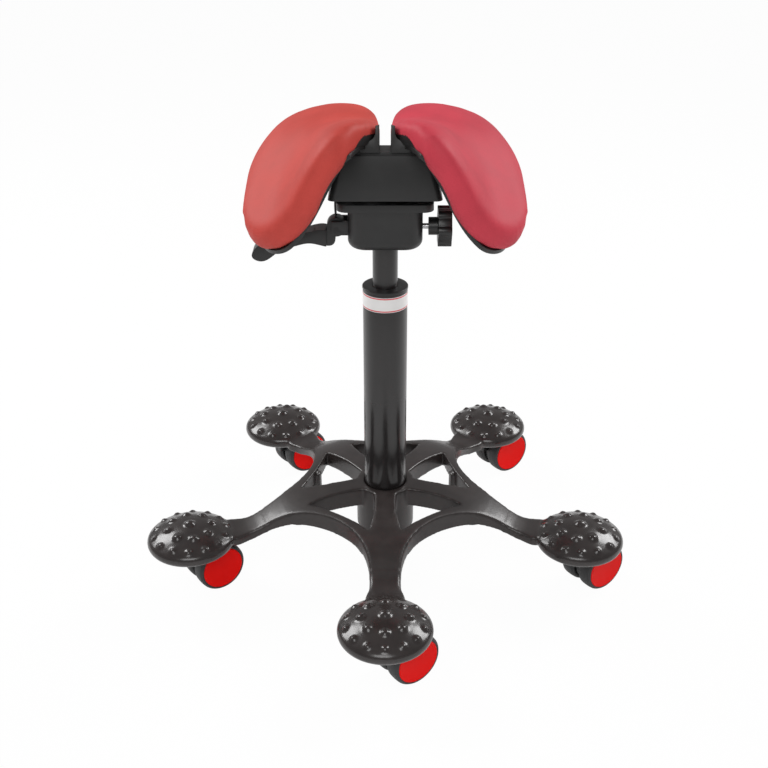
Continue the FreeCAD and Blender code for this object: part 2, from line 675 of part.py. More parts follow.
rocker_place = {"base_x": "rocker_pivot", "base_z": "rocker_level"}
lever_place = {"base_x": "-1 * lever_pivot_out", "base_z": "lever_pivot_level"}
housing_blank = fused(
    "HousingBlank",
    rounded_block(
        "Cup", "housing_width", "housing_depth", "flange_bottom - housing_bottom", "housing_round",
        "housing_edge", base_z="housing_bottom"),
    rounded_block(
        "Flange", "flange_width", "flange_depth", "flange_height", "flange_round",
        base_z="flange_bottom"),
    cylinder("Boss", "boss_radius", "boss_top - cheek_root", base_z="cheek_root"),
    ear("Right", "ear_spacing / 2"), ear("Left", "-1 * (ear_spacing / 2 + ear_thickness)"),
    rocker_cheek("Back", "rocker_edge"), rocker_cheek("Front", "-1 * (rocker_edge + cheek)"),
    lever_cheek("Back", "lever_edge"), lever_cheek("Front", "-1 * (lever_edge + cheek)"))
keep("lower_housing", cut(
    "LowerHousing", housing_blank,
    cylinder(
        "TaperBore", "cylinder_radius + press_clearance", "cylinder_top - cylinder_bottom",
        base_z="cylinder_bottom"),
    cylinder(
        "PivotBore", "pivot_radius + press_clearance", "2 * ear_spacing", ACROSS,
        base_x="-1 * ear_spacing", base_y="pivot_back", base_z="pivot_level"),
    small_hole("RockerBore", "rocker_edge", **rocker_place),
    small_hole("LeverBore", "lever_edge", **lever_place),
    cylinder(
        "SpindleBore", "spindle_radius + running_clearance", "housing_width", ACROSS,
        base_x="spindle_start - slack", base_z="knob_level")))

small_pins = [
    small_pin("RockerPin", "rocker_edge", **rocker_place), small_pin("LeverPin", "lever_edge", **lever_place)]
doc.recompute()
keep("lever_and_rocker_pins", solid("SmallPins", Part.makeCompound([pin.Shape for pin in small_pins])))
keep("pivot_pin", cylinder(
    "PivotPin", "pivot_radius", "2 * pivot_half_length", ACROSS, base_x="-1 * pivot_half_length",
    base_y="pivot_back", base_z="pivot_level"))


# Release rocker: pulled down at its cable end, it presses the button

rocker_bar = box(
    "RockerBar", "rocker_reach + rocker_pivot + small_round", "rocker_width", "rocker_height",
    base_x="-1 * rocker_reach", base_y="-1 * rocker_width / 2", base_z="rocker_low")
keep("release_rocker", cut(
    "ReleaseRocker", rocker_bar,
    cylinder(
        "RockerEye", "small_pin_radius + running_clearance", "2 * rocker_width", ALONG,
        base_y="-1 * rocker_width", **rocker_place)))


# Height lever: a hub on its pin and a paddle that bends down to its tip

PADDLE = [
    (0.03, -8), (0.14, -2), (0.34, -5), (0.64, -10.5), (0.9, -18), (1, -34), (0.92, -38),
    (0.67, -26), (0.49, -20.5), (0.29, -17.5), (0.03, -18.5),
]


def paddle_outline():
    """The lever's side view: shares of the way from its pin to its tip, and heights over the pin."""
    start = size("lever_pivot_out")
    reach = size("lever_reach") - start
    points = [Vector(-start - share * reach, 0, size("lever_pivot_level") + z) for share, z in PADDLE]
    spline = Part.BSplineCurve()
    spline.interpolate(points, PeriodicFlag=True)
    return Part.Face(Part.Wire(spline.toShape()))


def height_lever():
    """Narrow between the cheeks, wide from there to the tip."""
    outline = paddle_outline()
    hub_width = size("lever_hub_width")
    width = size("lever_width")
    pin = Vector(-size("lever_pivot_out"), 0, size("lever_pivot_level"))
    arm = outline.translated(-ALONG * hub_width / 2).extrude(ALONG * hub_width)
    paddle = outline.translated(-ALONG * width / 2).extrude(ALONG * width)
    beyond = Part.makeBox(
        size("lever_reach"), 2 * width, size("lever_reach"),
        Vector(-size("paddle_start") - size("lever_reach"), -width, pin.z - size("lever_reach")))
    hub = Part.makeCylinder(size("lever_hub"), hub_width, pin - ALONG * hub_width / 2, ALONG)
    eye = Part.makeCylinder(
        size("small_pin_radius") + size("running_clearance"), 2 * hub_width, pin - ALONG * hub_width, ALONG)
    return hub.fuse([arm, paddle.common(beyond)]).cut(eye).removeSplitter()


keep("height_lever", solid("HeightLever", height_lever()))


# Cable from the lever's hub up past the flange, inside the tilt housing

def bent_rod(points, radius):
    """Straight runs through the points, joined by arcs that touch them."""
    edges = []
    start = points[0]
    for before, corner, after in zip(points, points[1:], points[2:]):
        to_corner = (corner - before).normalize()
        onward = (after - corner).normalize()
        half_turn = to_corner.getAngle(onward) / 2
        reach = 0.45 * min((corner - before).Length, (after - corner).Length)
        bend = reach / tan(half_turn)
        print(f"cable bend of {bend:.1f} mm")
        middle = corner + (onward - to_corner).normalize() * bend * (1 / cos(half_turn) - 1)
        edges.append(line(start, corner - to_corner * reach))
        edges.append(Part.Arc(corner - to_corner * reach, middle, corner + onward * reach).toShape())
        start = corner + onward * reach
    edges.append(line(start, points[-1]))
    path = Part.Wire(edges)
    profile = Part.Wire(Part.makeCircle(radius, points[0], points[1] - points[0]))
    rod = path.makePipeShell([profile], True, False)
    section = pi * radius ** 2
    print(f"cable volume {rod.Volume:.2f} against {section * path.Length:.2f} mm3")
    return rod


# Chosen so that the cable clears the flange and the end of the rocker
CABLE = [(-53.5, 443), (-54.1, 457), (-52, 472.4)]
keep("lever_cable", solid(
    "LeverCable", bent_rod([Vector(x, 0, z) for x, z in CABLE], size("cable_radius"))))


# Clamp knob and its spindle

keep("knob_spindle", cylinder(
    "KnobSpindle", "spindle_radius", "knob_end - cheek - spindle_start", ACROSS,
    base_x="spindle_start", base_z="knob_level"))
lobes = [
    cylinder(f"Lobe{i}", "knob_lobe", "knob_thickness", ACROSS, base_x="knob_disc",
             base_y=f"(knob_radius - knob_lobe / 2) * {cos(angle):.6f}",
             base_z=f"knob_level + (knob_radius - knob_lobe / 2) * {sin(angle):.6f}")
    for i, angle in enumerate(2 * pi * k / count("knob_lobes") for k in range(count("knob_lobes")))
]
knob_blank = fused(
    "KnobBlank", cylinder("KnobNeck", "knob_neck", "knob_end - knob_start", ACROSS,
                          base_x="knob_start", base_z="knob_level"),
    cylinder("KnobDisc", "knob_radius", "knob_thickness", ACROSS,
             base_x="knob_disc", base_z="knob_level"), *lobes)
keep("tilt_knob", cut(
    "TiltKnob", knob_blank,
    cylinder("KnobBore", "spindle_radius + press_clearance", "knob_end - cheek - housing_width / 2",
             ACROSS, base_x="housing_width / 2", base_z="knob_level")))


# Tilt housing: a cover whose top slopes down to the back, open below, turning on the pivot pin

def rounded_frame(half_width, front, back, radius, level_front, level_back):
    """A closed outline with round corners, level across and sloping from front to back."""
    outline = Part.makeBox(2 * half_width, back + front, 1, Vector(-half_width, -front, 0))
    upright = [edge for edge in outline.Edges if abs(edge.tangentAt(edge.FirstParameter).z) > 0.5]
    rounded = outline.makeFillet(radius, upright)
    base = min(rounded.Faces, key=lambda face: face.CenterOfMass.z).OuterWire
    matrix = FreeCAD.Matrix()
    fall = (level_back - level_front) / (back + front)
    matrix.A32 = fall
    matrix.A34 = level_front + fall * front
    return base.transformGeometry(matrix)


def cover_shell(inset, raise_bottom):
    """The cover's outer form, or with an inset its hollow."""
    low = size("cover_bottom") - raise_bottom
    top_front = size("cover_front") - size("cover_taper")
    top_back = size("cover_back") - size("cover_taper")
    front_level = size("cover_top") - inset - size("deck_drop") * inset
    back_level = size("cover_top") - inset - size("deck_drop") * (top_front + top_back - inset)
    radius = size("cover_round") - inset / 2
    frames = [
        rounded_frame(size("cover_bottom_width") / 2 - inset, size("cover_front") - inset,
                      size("cover_back") - inset, radius, low, low),
        rounded_frame(size("cover_top_width") / 2 - inset, top_front - inset, top_back - inset, radius,
                      front_level, back_level),
    ]
    return Part.makeLoft(frames, True, True)


def deck_place(x, y, lift):
    """A place on the housing's sloping top, lift above it, y from the top's front edge."""
    front = -size("cover_front") + size("cover_taper")
    turn = Rotation(ACROSS, -size("deck_fall"))
    origin = Vector(0, front, size("cover_top"))
    return Placement(origin + turn.multVec(Vector(x, y, lift)), turn)


def tilt_housing():
    hollow = cover_shell(size("cover_wall"), 1)
    hatch = Part.makeBox(size("hatch_width"), size("hatch_length"), 4 * size("cover_wall"))
    hatch.Placement = deck_place(
        -size("hatch_width") / 2, size("hatch_front"), -2 * size("cover_wall"))
    across = size("cover_bottom_width")
    bore = Part.makeCylinder(
        size("pivot_radius") + size("running_clearance"), 2 * across,
        Vector(-across, size("pivot_back"), size("pivot_level")), ACROSS)
    return cover_shell(0, 0).cut([hollow, hatch, bore] + screw_shanks("carrier", 0))


def screw_rows(kind):
    """Places on the deck of the four screws of a kind: x to each side, y from the top's front edge."""
    across = size("carrier_screw_offset") if kind == "carrier" else size("beam_start") + size("beam_width") / 2
    first = size("carrier_set_back") + size(kind + "_screw_inset")
    last = size("carrier_set_back") + size("carrier_length") - size(kind + "_screw_inset")
    return [(x, y) for x in (-across, across) for y in (first, last)]


def screw_shanks(kind, grow):
    """Shanks, or with grow their holes, from the screw heads up."""
    holder = size("cover_wall") if kind == "carrier" else 0
    bite = 0 if kind == "carrier" else size("pan_screw_bite")
    length = holder + size("carrier_thickness") + bite
    shanks = []
    for x, y in screw_rows(kind):
        shank = Part.makeCylinder(size("screw_radius") + grow, length + grow)
        shank.Placement = deck_place(x, y, -holder)
        shanks.append(shank)
    return shanks


def screws(kind):
    """Four screws from below, heads under the tilt housing's top or under the carrier."""
    holder = size("cover_wall") if kind == "carrier" else 0
    pieces = []
    for (x, y), shank in zip(screw_rows(kind), screw_shanks(kind, -size("press_clearance"))):
        head = Part.makeCylinder(size("screw_head"), size("screw_head_height"))
        head.Placement = deck_place(x, y, -holder - size("screw_head_height") - size("press_clearance"))
        pieces.append(head.fuse(shank.translated(Vector(0, 0, -size("press_clearance")))))
    return Part.makeCompound(pieces)


def seat_carrier():
    plate = Part.makeBox(size("carrier_width"), size("carrier_length"), size("carrier_thickness"))
    plate.Placement = deck_place(-size("carrier_width") / 2, size("carrier_set_back"), 0)
    return plate.cut(screw_shanks("carrier", 0) + screw_shanks("pan", 0))


keep("tilt_housing", solid("TiltHousing", tilt_housing()))
keep("seat_carrier", solid("SeatCarrier", seat_carrier()))
keep("carrier_screws", solid("CarrierScrews", screws("carrier")))
keep("pan_screws", solid("PanScrews", screws("pan")))


# Castors: one set of masters in a frame with the stem on Z and the axle towards +X

def master(name, outline):
    body = turned(name, outline)
    doc.recompute()
    return body.Shape


def fork():
    """A round plate between the wheels, a block over it and the collar that carries the stem."""
    thickness = size("wheel_gap") - 2 * size("slack")
    axle = Vector(size("castor_trail"), -thickness / 2, size("wheel_radius"))
    plate = Part.makeCylinder(size("fork_radius"), thickness, axle, ALONG)
    block = Part.makeBox(
        size("fork_back") + size("fork_front"), thickness, size("fork_high") - size("fork_low"),
        Vector(-size("fork_back"), -thickness / 2, size("fork_low")))
    collar = Part.makeCylinder(
        size("fork_collar"), size("collar_high") - size("collar_low"), UP * size("collar_low"))
    axle_hole = Part.makeCylinder(size("axle_radius") + size("press_clearance"), thickness, axle, ALONG)
    tail_hole = Part.makeCylinder(
        size("stem_tail") + size("press_clearance"), size("collar_high"), UP * size("tail_level"))
    shank_hole = Part.makeCylinder(
        size("stem_radius") + size("press_clearance"), size("collar_high"), UP * size("shank_level"))
    return plate.fuse([block, collar]).cut([axle_hole, tail_hole, shank_hole]).removeSplitter()


wheel = master("WheelMaster", [
    ("wheel_bore", "0"), ("wheel_hub", "0"), ("wheel_hub", "cap_floor - wheel_web"),
    ("tread_inner", "cap_floor - wheel_web"), ("tread_inner", "0"), ("wheel_radius - wheel_chamfer", "0"),
    ("wheel_radius", "wheel_chamfer"), ("wheel_radius", "wheel_width - wheel_chamfer"),
    ("wheel_radius - wheel_chamfer", "wheel_width"), ("cap_bore", "wheel_width"),
    ("cap_bore", "cap_floor"), ("wheel_bore", "cap_floor"),
])
cap = master("CapMaster", [
    ("0", "cap_floor + press_clearance"), ("cap_radius", "cap_floor + press_clearance"),
    ("cap_radius", "wheel_width"), ("cap_radius - cap_proud", "wheel_width + cap_proud"),
    ("0", "wheel_width + cap_proud"),
])
stem = master("StemMaster", [
    ("0", "tail_level"), ("stem_tail", "tail_level"), ("stem_tail", "shank_level"),
    ("stem_radius", "shank_level"), ("stem_radius", "collar_high + press_clearance"),
    ("stem_flange", "collar_high + press_clearance"), ("stem_flange", "stem_top"),
    ("stem_radius", "stem_top"), ("stem_radius", "stem_top + stem_length"), ("0", "stem_top + stem_length"),
])
axle_half = size("wheel_gap") / 2 + size("cap_floor") - size("slack")
axle_place = Placement(Vector(size("castor_trail"), 0, size("wheel_radius")), Rotation())
axle = Part.makeCylinder(size("axle_radius"), 2 * axle_half, -ALONG * axle_half, ALONG)
fork_shape = fork()
for i in range(count("arm_count")):
    foot = Placement(ORIGIN, Rotation(UP, arm_angle(i))) * Placement(ACROSS * size("arm_reach"), Rotation())
    castor = Placement(foot.Base, Rotation(UP, size("castor_heading")))
    keep(f"castor_{i + 1}_stem", solid(f"Stem{i + 1}", stem, castor))
    keep(f"castor_{i + 1}_fork", solid(f"Fork{i + 1}", fork_shape, castor))
    keep(f"castor_{i + 1}_axle", solid(f"Axle{i + 1}", axle, castor * axle_place))
    for side, turn in (("near", 90), ("far", -90)):
        gap = -ALONG * (size("wheel_gap") / 2) * (1 if turn > 0 else -1)
        hub = castor * axle_place * Placement(gap, Rotation(ACROSS, turn))
        keep(f"castor_{i + 1}_wheel_{side}", solid(f"Wheel{i + 1}{side}", wheel, hub))
        keep(f"castor_{i + 1}_cap_{side}", solid(f"Cap{i + 1}{side}", cap, hub))


# Seat: two wings, each a pad on a pan with a beam under it

STATIONS = 13
SECTION_POINTS = 28
LAST_STATION = 0.985
PAN_SHARE = 0.86


def blend(value, start, end):
    """0 before start, 1 after end, smooth between."""
    share = min(max((value - start) / (end - start), 0), 1)
    return share * share * (3 - 2 * share)


def seat_top(x, y):
    """Height of the wings' top surface, from the thigh flank in front to the hips behind."""
    flank = size("thigh_drop") / (1 + exp(-(x - size("thigh_middle")) / size("thigh_softness")))
    front = size("pommel_top") - flank
    past = max(x - size("hip_start"), 0) / (size("seat_half_width") - size("hip_start"))
    back = size("cantle_top") - size("hip_drop") * past ** 3.8
    share = blend(y, -size("seat_front") + 10, size("seat_back") * 0.57)
    return front * (1 - share) + back * share


def rounded_off(share, power):
    """1 at the middle of an outline, falling to 0 at its end."""
    return (1 - abs(share) ** power) ** (1 / power)


def wing_station(share):
    """Where a station lies, and its inner and outer edge; share runs from -1, the front, to 1."""
    middle = (size("seat_back") - size("seat_front")) / 2
    y = middle + share * (size("seat_back") + size("seat_front")) / 2
    inner_power, outer_power = (1.9, 2.2) if share < 0 else (4, 3.2)
    inner_edge = size("seat_gap") / 2
    outer_edge = size("seat_half_width")
    tip = size("wing_middle")
    inner = tip - (tip - inner_edge) * rounded_off(share, inner_power)
    outer = tip + (outer_edge - tip) * rounded_off(share, outer_power)
    return y, inner, outer


def below_top(x, y, depth):
    """The point that lies depth under the top surface, square to it as seen from the front."""
    step = 0.5
    slope = (seat_top(x + step, y) - seat_top(x - step, y)) / (2 * step)
    length = hypot(slope, 1)
    return Vector(x + depth * slope / length, y, seat_top(x, y) - depth / length)


def closed_section(points):
    spline = Part.BSplineCurve()
    spline.interpolate(points, PeriodicFlag=True)
    return Part.Wire(spline.toShape())


def pad(grow):
    """The right pad, or with grow the room that it needs."""
    sections = []
    for k in range(STATIONS):
        share = LAST_STATION * sin(pi * (k / (STATIONS - 1) - 0.5))
        y, inner, outer = wing_station(share)
        fullness = rounded_off(share, 6)
        points = []
        for i in range(SECTION_POINTS):
            angle = 2 * pi * i / SECTION_POINTS
            across = abs(cos(angle)) ** 0.45 * (1 if cos(angle) > 0 else -1)
            over = abs(sin(angle)) ** 0.45 * (1 if sin(angle) > 0 else -1)
            x = (inner + outer) / 2 + ((outer - inner) / 2 + grow) * across
            half = size("pad_thickness") / 2
            points.append(below_top(x, y, half - (half * fullness + grow) * over))
        sections.append(closed_section(points))
    return Part.makeLoft(sections, True, False)


def pan_shell():
    """A shell under the pad, a little smaller than it."""
    sections = []
    upper = size("pad_thickness") + size("rest_clearance")
    lower = upper + size("pan_thickness")
    for k in range(STATIONS):
        share = PAN_SHARE * (2 * k / (STATIONS - 1) - 1)
        y, inner, outer = wing_station(share)
        middle = (inner + outer) / 2
        half = PAN_SHARE * (outer - inner) / 2
        count_across = 9
        across = [middle + half * (2 * i / (count_across - 1) - 1) for i in range(count_across)]
        top = [below_top(x, y, upper) for x in across]
        bottom = [below_top(x, y, lower) for x in reversed(across)]
        sections.append(Part.Wire([
            curve(top), line(top[-1], bottom[0]), curve(bottom), line(bottom[-1], top[0])]))
    return Part.makeLoft(sections, True, False)


def beam():
    """A beam on the carrier, cut to the pad's underside."""
    block = Part.makeBox(size("beam_width"), size("beam_length"), size("pad_thickness"))
    block.Placement = deck_place(
        size("beam_start"), size("cover_front") - size("cover_taper") - size("beam_front"),
        size("carrier_thickness"))
    threads = [
        shank for shank in screw_shanks("pan", 0) if shank.Placement.Base.x > 0]
    return block.cut([pad(size("rest_clearance"))] + threads)


def deck_room(half_width, start, end, top):
    """A block round the housing's sloping top, up to top above it, that the pans keep clear of."""
    depth = size("carrier_width")
    room = Part.makeBox(2 * half_width, end - start, depth + top)
    room.Placement = deck_place(-half_width, start, -depth)
    return room


def pan():
    """The shell and the beam in one, clear of the carrier and of the tilt housing."""
    slack = size("slack")
    lowest = min(beam().Solids, key=lambda piece: piece.CenterOfMass.z)
    carrier_start = size("carrier_set_back") - slack
    housing_length = size("cover_front") + size("cover_back") - 2 * size("cover_taper")
    rooms = [
        deck_room(size("carrier_width") / 2 + slack, carrier_start,
                  carrier_start + size("carrier_length") + 2 * slack, size("carrier_thickness")),
        deck_room(size("cover_bottom_width") / 2, -slack, housing_length + slack, slack),
    ]
    return pan_shell().fuse(lowest).cut([*rooms, pad(size("slack")), *screw_shanks("pan", 0)])


pad_shape = pad(0)
pan_shape = pan()
for side, flip in (("right", False), ("left", True)):
    for kind, shape in (("pad", pad_shape), ("pan", pan_shape)):
        placed = shape.mirror(ORIGIN, ACROSS) if flip else shape
        keep(f"seat_{kind}_{side}", solid(f"Seat{kind}{side}", placed))


# Check and write

doc.recompute()
for thing in doc.Objects:
    if "Invalid" in thing.State or "Error" in thing.State:
        raise RuntimeError(f"{thing.Name} did not build: {thing.State}")
os.makedirs("parts", exist_ok=True)
for node, thing in nodes.items():
    if thing.Shape.isNull() or not thing.Shape.isValid() or thing.Shape.Volume <= 0:
        raise RuntimeError(f"{node} has no valid solid")
    thing.Shape.exportStep(f"parts/{node}.step")
print(f"{len(nodes)} sub-parts written")
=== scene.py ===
"""Saddle stool: the looks of a split leather saddle on a tilting head, a gas column and a castor base."""
from math import atan2, copysign, cos, degrees, exp, hypot, pi, radians, sin, tau

import bmesh
import bpy
from bpy.props import FloatProperty, FloatVectorProperty, IntProperty, PointerProperty
from bpy.types import Operator, Panel, PropertyGroup
from mathutils import Matrix, Vector


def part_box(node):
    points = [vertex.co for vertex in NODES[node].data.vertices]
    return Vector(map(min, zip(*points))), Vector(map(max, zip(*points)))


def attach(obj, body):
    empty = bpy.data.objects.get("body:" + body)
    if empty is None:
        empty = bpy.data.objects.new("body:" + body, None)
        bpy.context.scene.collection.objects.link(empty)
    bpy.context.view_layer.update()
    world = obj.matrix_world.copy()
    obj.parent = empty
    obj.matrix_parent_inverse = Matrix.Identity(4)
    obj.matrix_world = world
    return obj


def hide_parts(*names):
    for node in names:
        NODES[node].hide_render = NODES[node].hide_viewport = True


bl_info = {
    "name": "Saddle stool",
    "version": (1, 0, 0),
    "blender": (4, 5, 0),
    "location": "3D View > Sidebar > Stool",
    "description": "Builds a saddle stool's visible pieces, finishes and stage round its packed CAD frame",
    "category": "Object",
}

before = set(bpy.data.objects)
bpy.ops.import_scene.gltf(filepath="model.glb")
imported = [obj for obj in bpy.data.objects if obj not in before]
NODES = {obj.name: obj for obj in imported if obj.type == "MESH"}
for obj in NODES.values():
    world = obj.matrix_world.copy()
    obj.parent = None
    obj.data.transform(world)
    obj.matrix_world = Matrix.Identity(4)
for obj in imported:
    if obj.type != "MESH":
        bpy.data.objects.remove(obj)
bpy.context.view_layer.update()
MM = 0.001

CASTORS = range(1, 6)
CASTING_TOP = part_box("base_casting")[1].z
TUBE_LOW, TUBE_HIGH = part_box("outer_tube")
BAND_LOW, BAND_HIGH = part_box("column_band")


# Sizes and colours that a user would change

def length(name, description, default):
    return FloatProperty(
        name=name, description=description, default=default, subtype="DISTANCE", unit="LENGTH")


class StoolSizes(PropertyGroup):
    cast_voxel: length("Casting mesh", "Spacing of the mesh that rounds the casting's edges", 1.5 * MM)
    wall_draft: length("Wall draft", "How far the bay walls lean out from top to bottom", 2.6 * MM)
    plastic_edge: length("Moulded edge", "Rounding of the edges of moulded pieces", 1.1 * MM)
    metal_edge: length("Turned edge", "Rounding of the edges of turned pieces", 0.35 * MM)
    pad_swell: length("Pad swell", "Furthest that the foam pushes its leather out", 2.2 * MM)
    pad_voxel: length("Pad mesh", "Spacing of the mesh that the cloth simulation moves", 5 * MM)
    pad_frames: IntProperty(
        name="Swell frames", description="Frames that the cloth simulation runs", default=14, min=1)
    grain: length("Leather grain", "Size of one pebble of the leather's grain", 1.1 * MM)
    lens: FloatProperty(
        name="Lens", description="Focal length of the camera in millimetres", default=54.0)
    camera_back: length("Camera distance", "Column axis to the camera, along the floor", 1.1927)
    camera_height: length("Camera height", "Floor to the camera", 0.8556)
    camera_pitch: FloatProperty(
        name="Camera pitch", description="How far the camera looks down",
        default=radians(27.89), subtype="ANGLE", unit="ROTATION")


def colour(name, description, default):
    return FloatVectorProperty(
        name=name, description=description, default=default, subtype="COLOR", size=3, min=0, max=1)


class StoolColours(PropertyGroup):
    lacquer: colour("Lacquer", "Satin lacquer of the casting", (0.027, 0.021, 0.020))
    tube: colour("Tube", "Lacquer of the column", (0.014, 0.012, 0.012))
    plastic: colour("Plastic", "Moulded black plastic of the head", (0.015, 0.015, 0.015))
    tread: colour("Tread", "Soft tread of the castors", (0.030, 0.030, 0.031))
    cap: colour("Cap", "Red wheel caps", (0.98, 0.006, 0.004))
    leather_left: colour("Left leather", "Leather of the left pad", (0.58, 0.070, 0.056))
    leather_right: colour("Right leather", "Leather of the right pad", (0.60, 0.056, 0.082))
    band: colour("Band", "Film round the column", (0.86, 0.85, 0.84))
    band_line: colour("Band line", "Lines at the band's edges", (0.70, 0.03, 0.05))
    steel: colour("Steel", "Turned steel", (0.56, 0.56, 0.57))


def sizes():
    return bpy.context.scene.stool_sizes


def colours():
    return bpy.context.scene.stool_colours


# Shader maths

class Wire:
    """A socket that values can be worked out from, written as an expression."""

    def __init__(self, shader, socket):
        self.shader = shader
        self.socket = socket

    def math(self, operation, *values):
        return self.shader.node("ShaderNodeMath", {"operation": operation}, *values)

    def __add__(self, other):
        return self.math("ADD", self, other)

    def __sub__(self, other):
        return self.math("SUBTRACT", self, other)

    def __rsub__(self, other):
        return self.math("SUBTRACT", other, self)

    def __mul__(self, other):
        return self.math("MULTIPLY", self, other)

    def __pow__(self, other):
        return self.math("POWER", self, other)

    __radd__ = __add__
    __rmul__ = __mul__

    def within(self, low, high):
        """1 where the value lies between low and high, else 0."""
        return self.math("GREATER_THAN", self, low) * self.math("LESS_THAN", self, high)

    def ramp(self, start, end, low=0.0, high=1.0):
        """From low at start to high at end, smooth between and level beyond."""
        return self.shader.node(
            "ShaderNodeMapRange", {"interpolation_type": "SMOOTHSTEP"}, self, start, end, low, high)


class Shader:
    """A material and its nodes."""

    def __init__(self, name, **constants):
        self.material = bpy.data.materials.new(name)
        self.material.use_nodes = True
        self.tree = self.material.node_tree
        self.surface = self.tree.nodes["Principled BSDF"]
        for socket, value in constants.items():
            self.surface.inputs[socket.replace("_", " ")].default_value = value
        self.place = Wire(self, self.tree.nodes.new("ShaderNodeTexCoord").outputs["Object"])

    def node(self, kind, settings, *inputs):
        """Add a node: its settings first, then its sockets' values or links. Gives its first output."""
        made = self.tree.nodes.new(kind)
        for key, value in settings.items():
            setattr(made, key, value)
        for socket, value in zip([s for s in made.inputs if s.enabled], inputs):
            if isinstance(value, Wire):
                self.tree.links.new(value.socket, socket)
            else:
                socket.default_value = value
        return Wire(self, next(s for s in made.outputs if s.enabled))

    def axes(self):
        """The three coordinates of a place in the frame, in metres."""
        split = self.node("ShaderNodeSeparateXYZ", {}, self.place)
        return [Wire(self, socket) for socket in split.socket.node.outputs]

    def noise(self, size, detail=2, place=None):
        """Cloudy noise whose lumps are about size across."""
        return self.node("ShaderNodeTexNoise", {}, place or self.place, 1 / size, detail)

    def stretched(self, x, y, z):
        """Places scaled along each axis: the smaller the share, the longer the noise is drawn there."""
        return self.node("ShaderNodeVectorMath", {"operation": "MULTIPLY"}, self.place, (x, y, z))

    def tint(self, mask, low, high):
        """A colour that goes from low to high with the mask."""
        return self.node(
            "ShaderNodeMix", {"data_type": "RGBA"}, mask, (*low, 1), (*high, 1))

    def feed(self, **links):
        """Link wires to the surface's sockets, and give the finished material."""
        for socket, value in links.items():
            self.tree.links.new(value.socket, self.surface.inputs[socket.replace("_", " ")])
        return self.material

    def bump(self, height, depth, strength):
        """Relief of the given depth in metres."""
        relief = self.node("ShaderNodeBump", {}, strength, depth)
        self.tree.links.new(height.socket, relief.socket.node.inputs["Height"])
        return relief


def shade(base, share):
    """A darker or lighter shade of a colour."""
    return tuple(min(channel * share, 1) for channel in base)


# Finishes

GLOSS_START, GLOSS_FULL = 0.178, 0.2     # radii between which the lacquer grows glossier
TUBE_FOOT, TUBE_BODY = 0.2, 0.26         # heights between which the tube grows duller


def lacquer():
    """Satin black-brown lacquer, glossier out on the domes."""
    shader = Shader("cast_lacquer", Coat_Weight=0.22, Coat_Roughness=0.16, IOR=1.5)
    base = colours().lacquer
    x, y, _ = shader.axes()
    dome = ((x * x + y * y) ** 0.5).ramp(GLOSS_START, GLOSS_FULL)
    cloud = shader.noise(18 * MM, 3)
    peel = shader.noise(1.4 * MM)
    return shader.feed(
        Base_Color=shader.tint(cloud.ramp(0.3, 0.7), shade(base, 0.85), shade(base, 1.15)),
        Roughness=0.37 - 0.12 * dome + (cloud - 0.5) * 0.08,
        Normal=shader.bump(peel, 0.01 * MM, 0.15))


def tube_lacquer():
    """Lacquer on drawn tube: faint rings, smoother towards the foot."""
    shader = Shader("tube_lacquer", Coat_Weight=0.3, Coat_Roughness=0.15)
    base = colours().tube
    height = shader.axes()[2]
    rings = shader.noise(1.0 * MM, place=shader.stretched(0.02, 0.02, 1))
    cloud = shader.noise(25 * MM, 3)
    return shader.feed(
        Base_Color=shader.tint(cloud, shade(base, 0.85), shade(base, 1.2)),
        Roughness=height.ramp(TUBE_FOOT, TUBE_BODY, 0.24, 0.34) + (cloud - 0.5) * 0.06,
        Normal=shader.bump(rings, 0.01 * MM, 0.25))


def moulded(name, base, roughness, grain=0.5 * MM, relief=0.03 * MM):
    """Moulded plastic with a fine spark-eroded texture."""
    shader = Shader(name)
    cloud = shader.noise(22 * MM, 3)
    return shader.feed(
        Base_Color=shader.tint(cloud.ramp(0.3, 0.7), shade(base, 0.88), shade(base, 1.12)),
        Roughness=roughness + (cloud - 0.5) * 0.1,
        Normal=shader.bump(shader.noise(grain), relief, 0.4))


def steel():
    """Turned steel with fine rings."""
    shader = Shader("turned_steel", Metallic=1.0)
    base = colours().steel
    rings = shader.noise(0.5 * MM, place=shader.stretched(0.1, 0.1, 1))
    cloud = shader.noise(9 * MM)
    return shader.feed(
        Base_Color=shader.tint(cloud, shade(base, 0.9), shade(base, 1.05)),
        Roughness=0.27 + rings * 0.12, Normal=shader.bump(rings, 0.01 * MM, 0.3))


def leather(name, base):
    """Smooth upholstery leather: pebbled grain, fine pores and a soft cloudiness."""
    shader = Shader(name, Coat_Weight=0.02, Coat_Roughness=0.5, Specular_IOR_Level=0.16)
    size = sizes().grain
    detail, rough, lacunarity, merging = 0.0, 0.5, 2.0, 0.6
    pebbles = 1 - shader.node(
        "ShaderNodeTexVoronoi", {"feature": "SMOOTH_F1"}, shader.place, 1 / size, detail, rough,
        lacunarity, merging)
    pores = shader.noise(size * 0.35, 3)
    cloud = shader.noise(45 * MM, 3)
    return shader.feed(
        Base_Color=shader.tint(
            cloud.ramp(0.25, 0.75) * 0.6 + pebbles * 0.4, shade(base, 0.86), shade(base, 1.1)),
        Roughness=0.55 + (cloud - 0.5) * 0.1 + pores * 0.05,
        Normal=shader.bump(pebbles * 0.7 + pores * 0.3, 0.05 * MM, 0.35))


